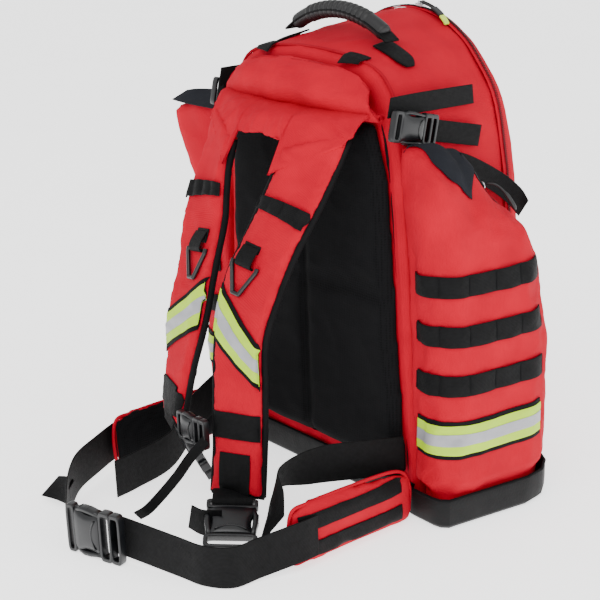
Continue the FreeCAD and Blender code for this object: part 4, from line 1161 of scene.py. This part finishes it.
buckle("hip_buckle", WIDE_WEB, HIP_AT, HIP_ALONG, UP, "", "hip_plug")
buckle("sternum_buckle", WEB, Vector((-17, -297.33, 120)), Vector((1, 0, 0)), UP, "", "sternum_plug")
LOW_AT, LOW_DOWN = Vector((73.47, -291.62, 47.83)), Vector((0.6542, -0.5962, -0.4654))
LOW_SIDE = Vector((0.651, 0.751, -0.047))
buckle("shoulder_buckle", WIDE_WEB, LOW_AT, LOW_DOWN, LOW_SIDE, "_right", "shoulder_plug_right")
buckle("shoulder_buckle", WIDE_WEB, Vector((-63.88, -268.57, 96.33)), Vector((0.0598, 0.4384, -0.8968)),
       Vector((0.93, -0.37, 0)), "_left", "shoulder_plug_left")
for side, s in SIDES.items():
    buckle("compression_buckle", WEB, flip(COMP_AT, s), COMP_ALONG, -COMP_UP, "_" + side,
           "compression_plug_" + side, 13.0)
LOOP_PATH = [(-16, 1.5), (-6, 5.5), (3, 8.2), (8.5, 4.5), (9, -2)]
loop_line = [(LOW_AT + LOW_DOWN * a + LOW_DOWN.cross(LOW_SIDE) * b, LOW_SIDE) for a, b in LOOP_PATH]
webbing_piece("shoulder_loop", [(loop_line, 47)], "pack", [])


# ---- rings, sliders and pulls ----
BODY_OF = {n: b for b, members in frame["record"]["behaviour"]["bodies"].items() for n in members}
for node, body_name in sorted(BODY_OF.items()):
    if "ring" in node:
        moulded(node, body_name, "ring", "buckle_plastic", 0.3)
    elif "slider" in node:
        moulded(node, body_name, "nickel", "slider_metal", 0.5)
CROWN_MIDDLE = Vector((0, 77.5, BODY_TOP - CROWN_R))


def main_pull(side, start, turn):
    """Cord loop and a rubber tab, black with a lime end, lying along the crown from start degrees."""
    def place(t, sideways=0.0):
        a = radians(start + turn * t)
        out = Vector((sin(a), 0, cos(a))) * (CROWN_R + mix(8.9, 5.5, t))
        return CROWN_MIDDLE + out + Vector((0, sideways - 12 * t * t, 0))
    cord = [place(t, 2.2) for t in steps(0.06, 0.42, 10)] + [place(t, -2.2) for t in steps(0.42, 0.06, 10)]
    loop = tube("loop", cord + [place(0.0)], 1.3, closed=True)
    black, lime = (sheet_mesh("tab", [[place(t, w * (5.5 - 1.5 * t)) for w in (-1, -0.6, 0, 0.6, 1)]
                                      for t in steps(*ends, 8)], 3.0) for ends in ((0.38, 0.72), (0.72, 1.0)))
    pull = "main_pull_" + side
    finish_piece(joined(pull + "_cord", [loop, black]), pull, "pull_tab", [pull], "rubber")
    finish_piece(joined(pull + "_tip", [lime]), pull, "pull_tab", [], "lime_rubber")


def cord_radius(t):
    """Thin cord with a thicker grip near its end."""
    return 1.3 + 1.2 * ramp((t - 0.55) / 0.1) * (1 - ramp((t - 0.92) / 0.08))


PULL_EYE, EYE_R = Vector((203, -14.7, 393)), 4.4
PULL_ROUTE = [(203, -14.7, 391), (210, -12, 396), (219, -7, 395), (227, -1, 386), (232, 5, 374),
              (233, 9, 366)]
for side, s in SIDES.items():
    pull = "pocket_pull_" + side
    eye = [flip(PULL_EYE + Vector((sin(a), 0, cos(a))) * EYE_R, s) for a in steps(0, 2 * pi, 18)[:-1]]
    eye = tube("pocket_pull_eye_" + side, eye, 0.9, closed=True)
    finish_piece(eye, pull, "slider_metal", [], "nickel")
    route = curve_through([flip(Vector(p), s) for p in PULL_ROUTE])
    cord = tube("pocket_pull_cord_" + side, [route(t) for t in steps(0, 1, 30)], cord_radius)
    finish_piece(cord, pull, "pull_tab", [pull], "rubber")
main_pull("right", 6.0, 24.0)
main_pull("left", -33.0, -24.0)
for slot_entry in frame["nodes"]["frame_sheet"].material_slots:
    slot_entry.material = MATS["sheet"]


# ---- camera, floor and light ----
def add_camera():
    yaw, pitch, roll = radians(50.6), radians(18.9), radians(-2.1)
    ahead = Vector((-sin(yaw) * cos(pitch), cos(yaw) * cos(pitch), -sin(pitch)))
    right = Vector((cos(yaw), sin(yaw), 0))
    up = right.cross(ahead)
    across = right * cos(roll) + up * sin(roll)
    upward = up * cos(roll) - right * sin(roll)
    data = bpy.data.cameras.new("view")
    data.lens, data.sensor_width = 85.93, 36
    camera = bpy.data.objects.new("view", data)
    bpy.context.scene.collection.objects.link(camera)
    turn_matrix = Matrix((across, upward, -ahead)).transposed().to_4x4()
    camera.matrix_world = Matrix.Translation((1.2837, -1.1741, 0.8025)) @ turn_matrix
    bpy.context.scene.camera = camera


def add_floor():
    corners = [Vector((x * 9, y * 9, 0)) for x, y in ((-1, -1), (1, -1), (1, 1), (-1, 1))]
    floor = new_object("floor", corners, [(0, 1, 2, 3)])
    paper = Shader("paper_floor", 0.9, specular=0.1)
    paper.colour(paper.noise(paper.coords(), 3.0), (0.92, 0.92, 0.92), (0.96, 0.96, 0.96))
    paper.bsdf.inputs["Emission Color"].default_value = (1, 1, 1, 1)
    paper.bsdf.inputs["Emission Strength"].default_value = 1.5
    floor.data.materials.append(paper.mat)


def add_area(name, place, aim, size, power):
    data = bpy.data.lights.new(name, "AREA")
    data.size, data.energy = size, power
    light = bpy.data.objects.new(name, data)
    light.location = place
    light.rotation_euler = (Vector(aim) - Vector(place)).to_track_quat("-Z", "Y").to_euler()
    bpy.context.scene.collection.objects.link(light)


def add_world():
    world = bpy.data.worlds.new("studio")
    world.use_nodes = True
    world.node_tree.nodes["Background"].inputs[0].default_value = (1, 1, 1, 1)
    world.node_tree.nodes["Background"].inputs[1].default_value = 1.12
    bpy.context.scene.world = world


add_camera()
add_floor()
add_world()
add_area("key", (0.9, -1.6, 2.2), (0, -0.1, 0.25), 1.6, 30)
add_area("side", (2.2, 0.5, 1.4), (0, 0, 0.3), 1.6, 16)
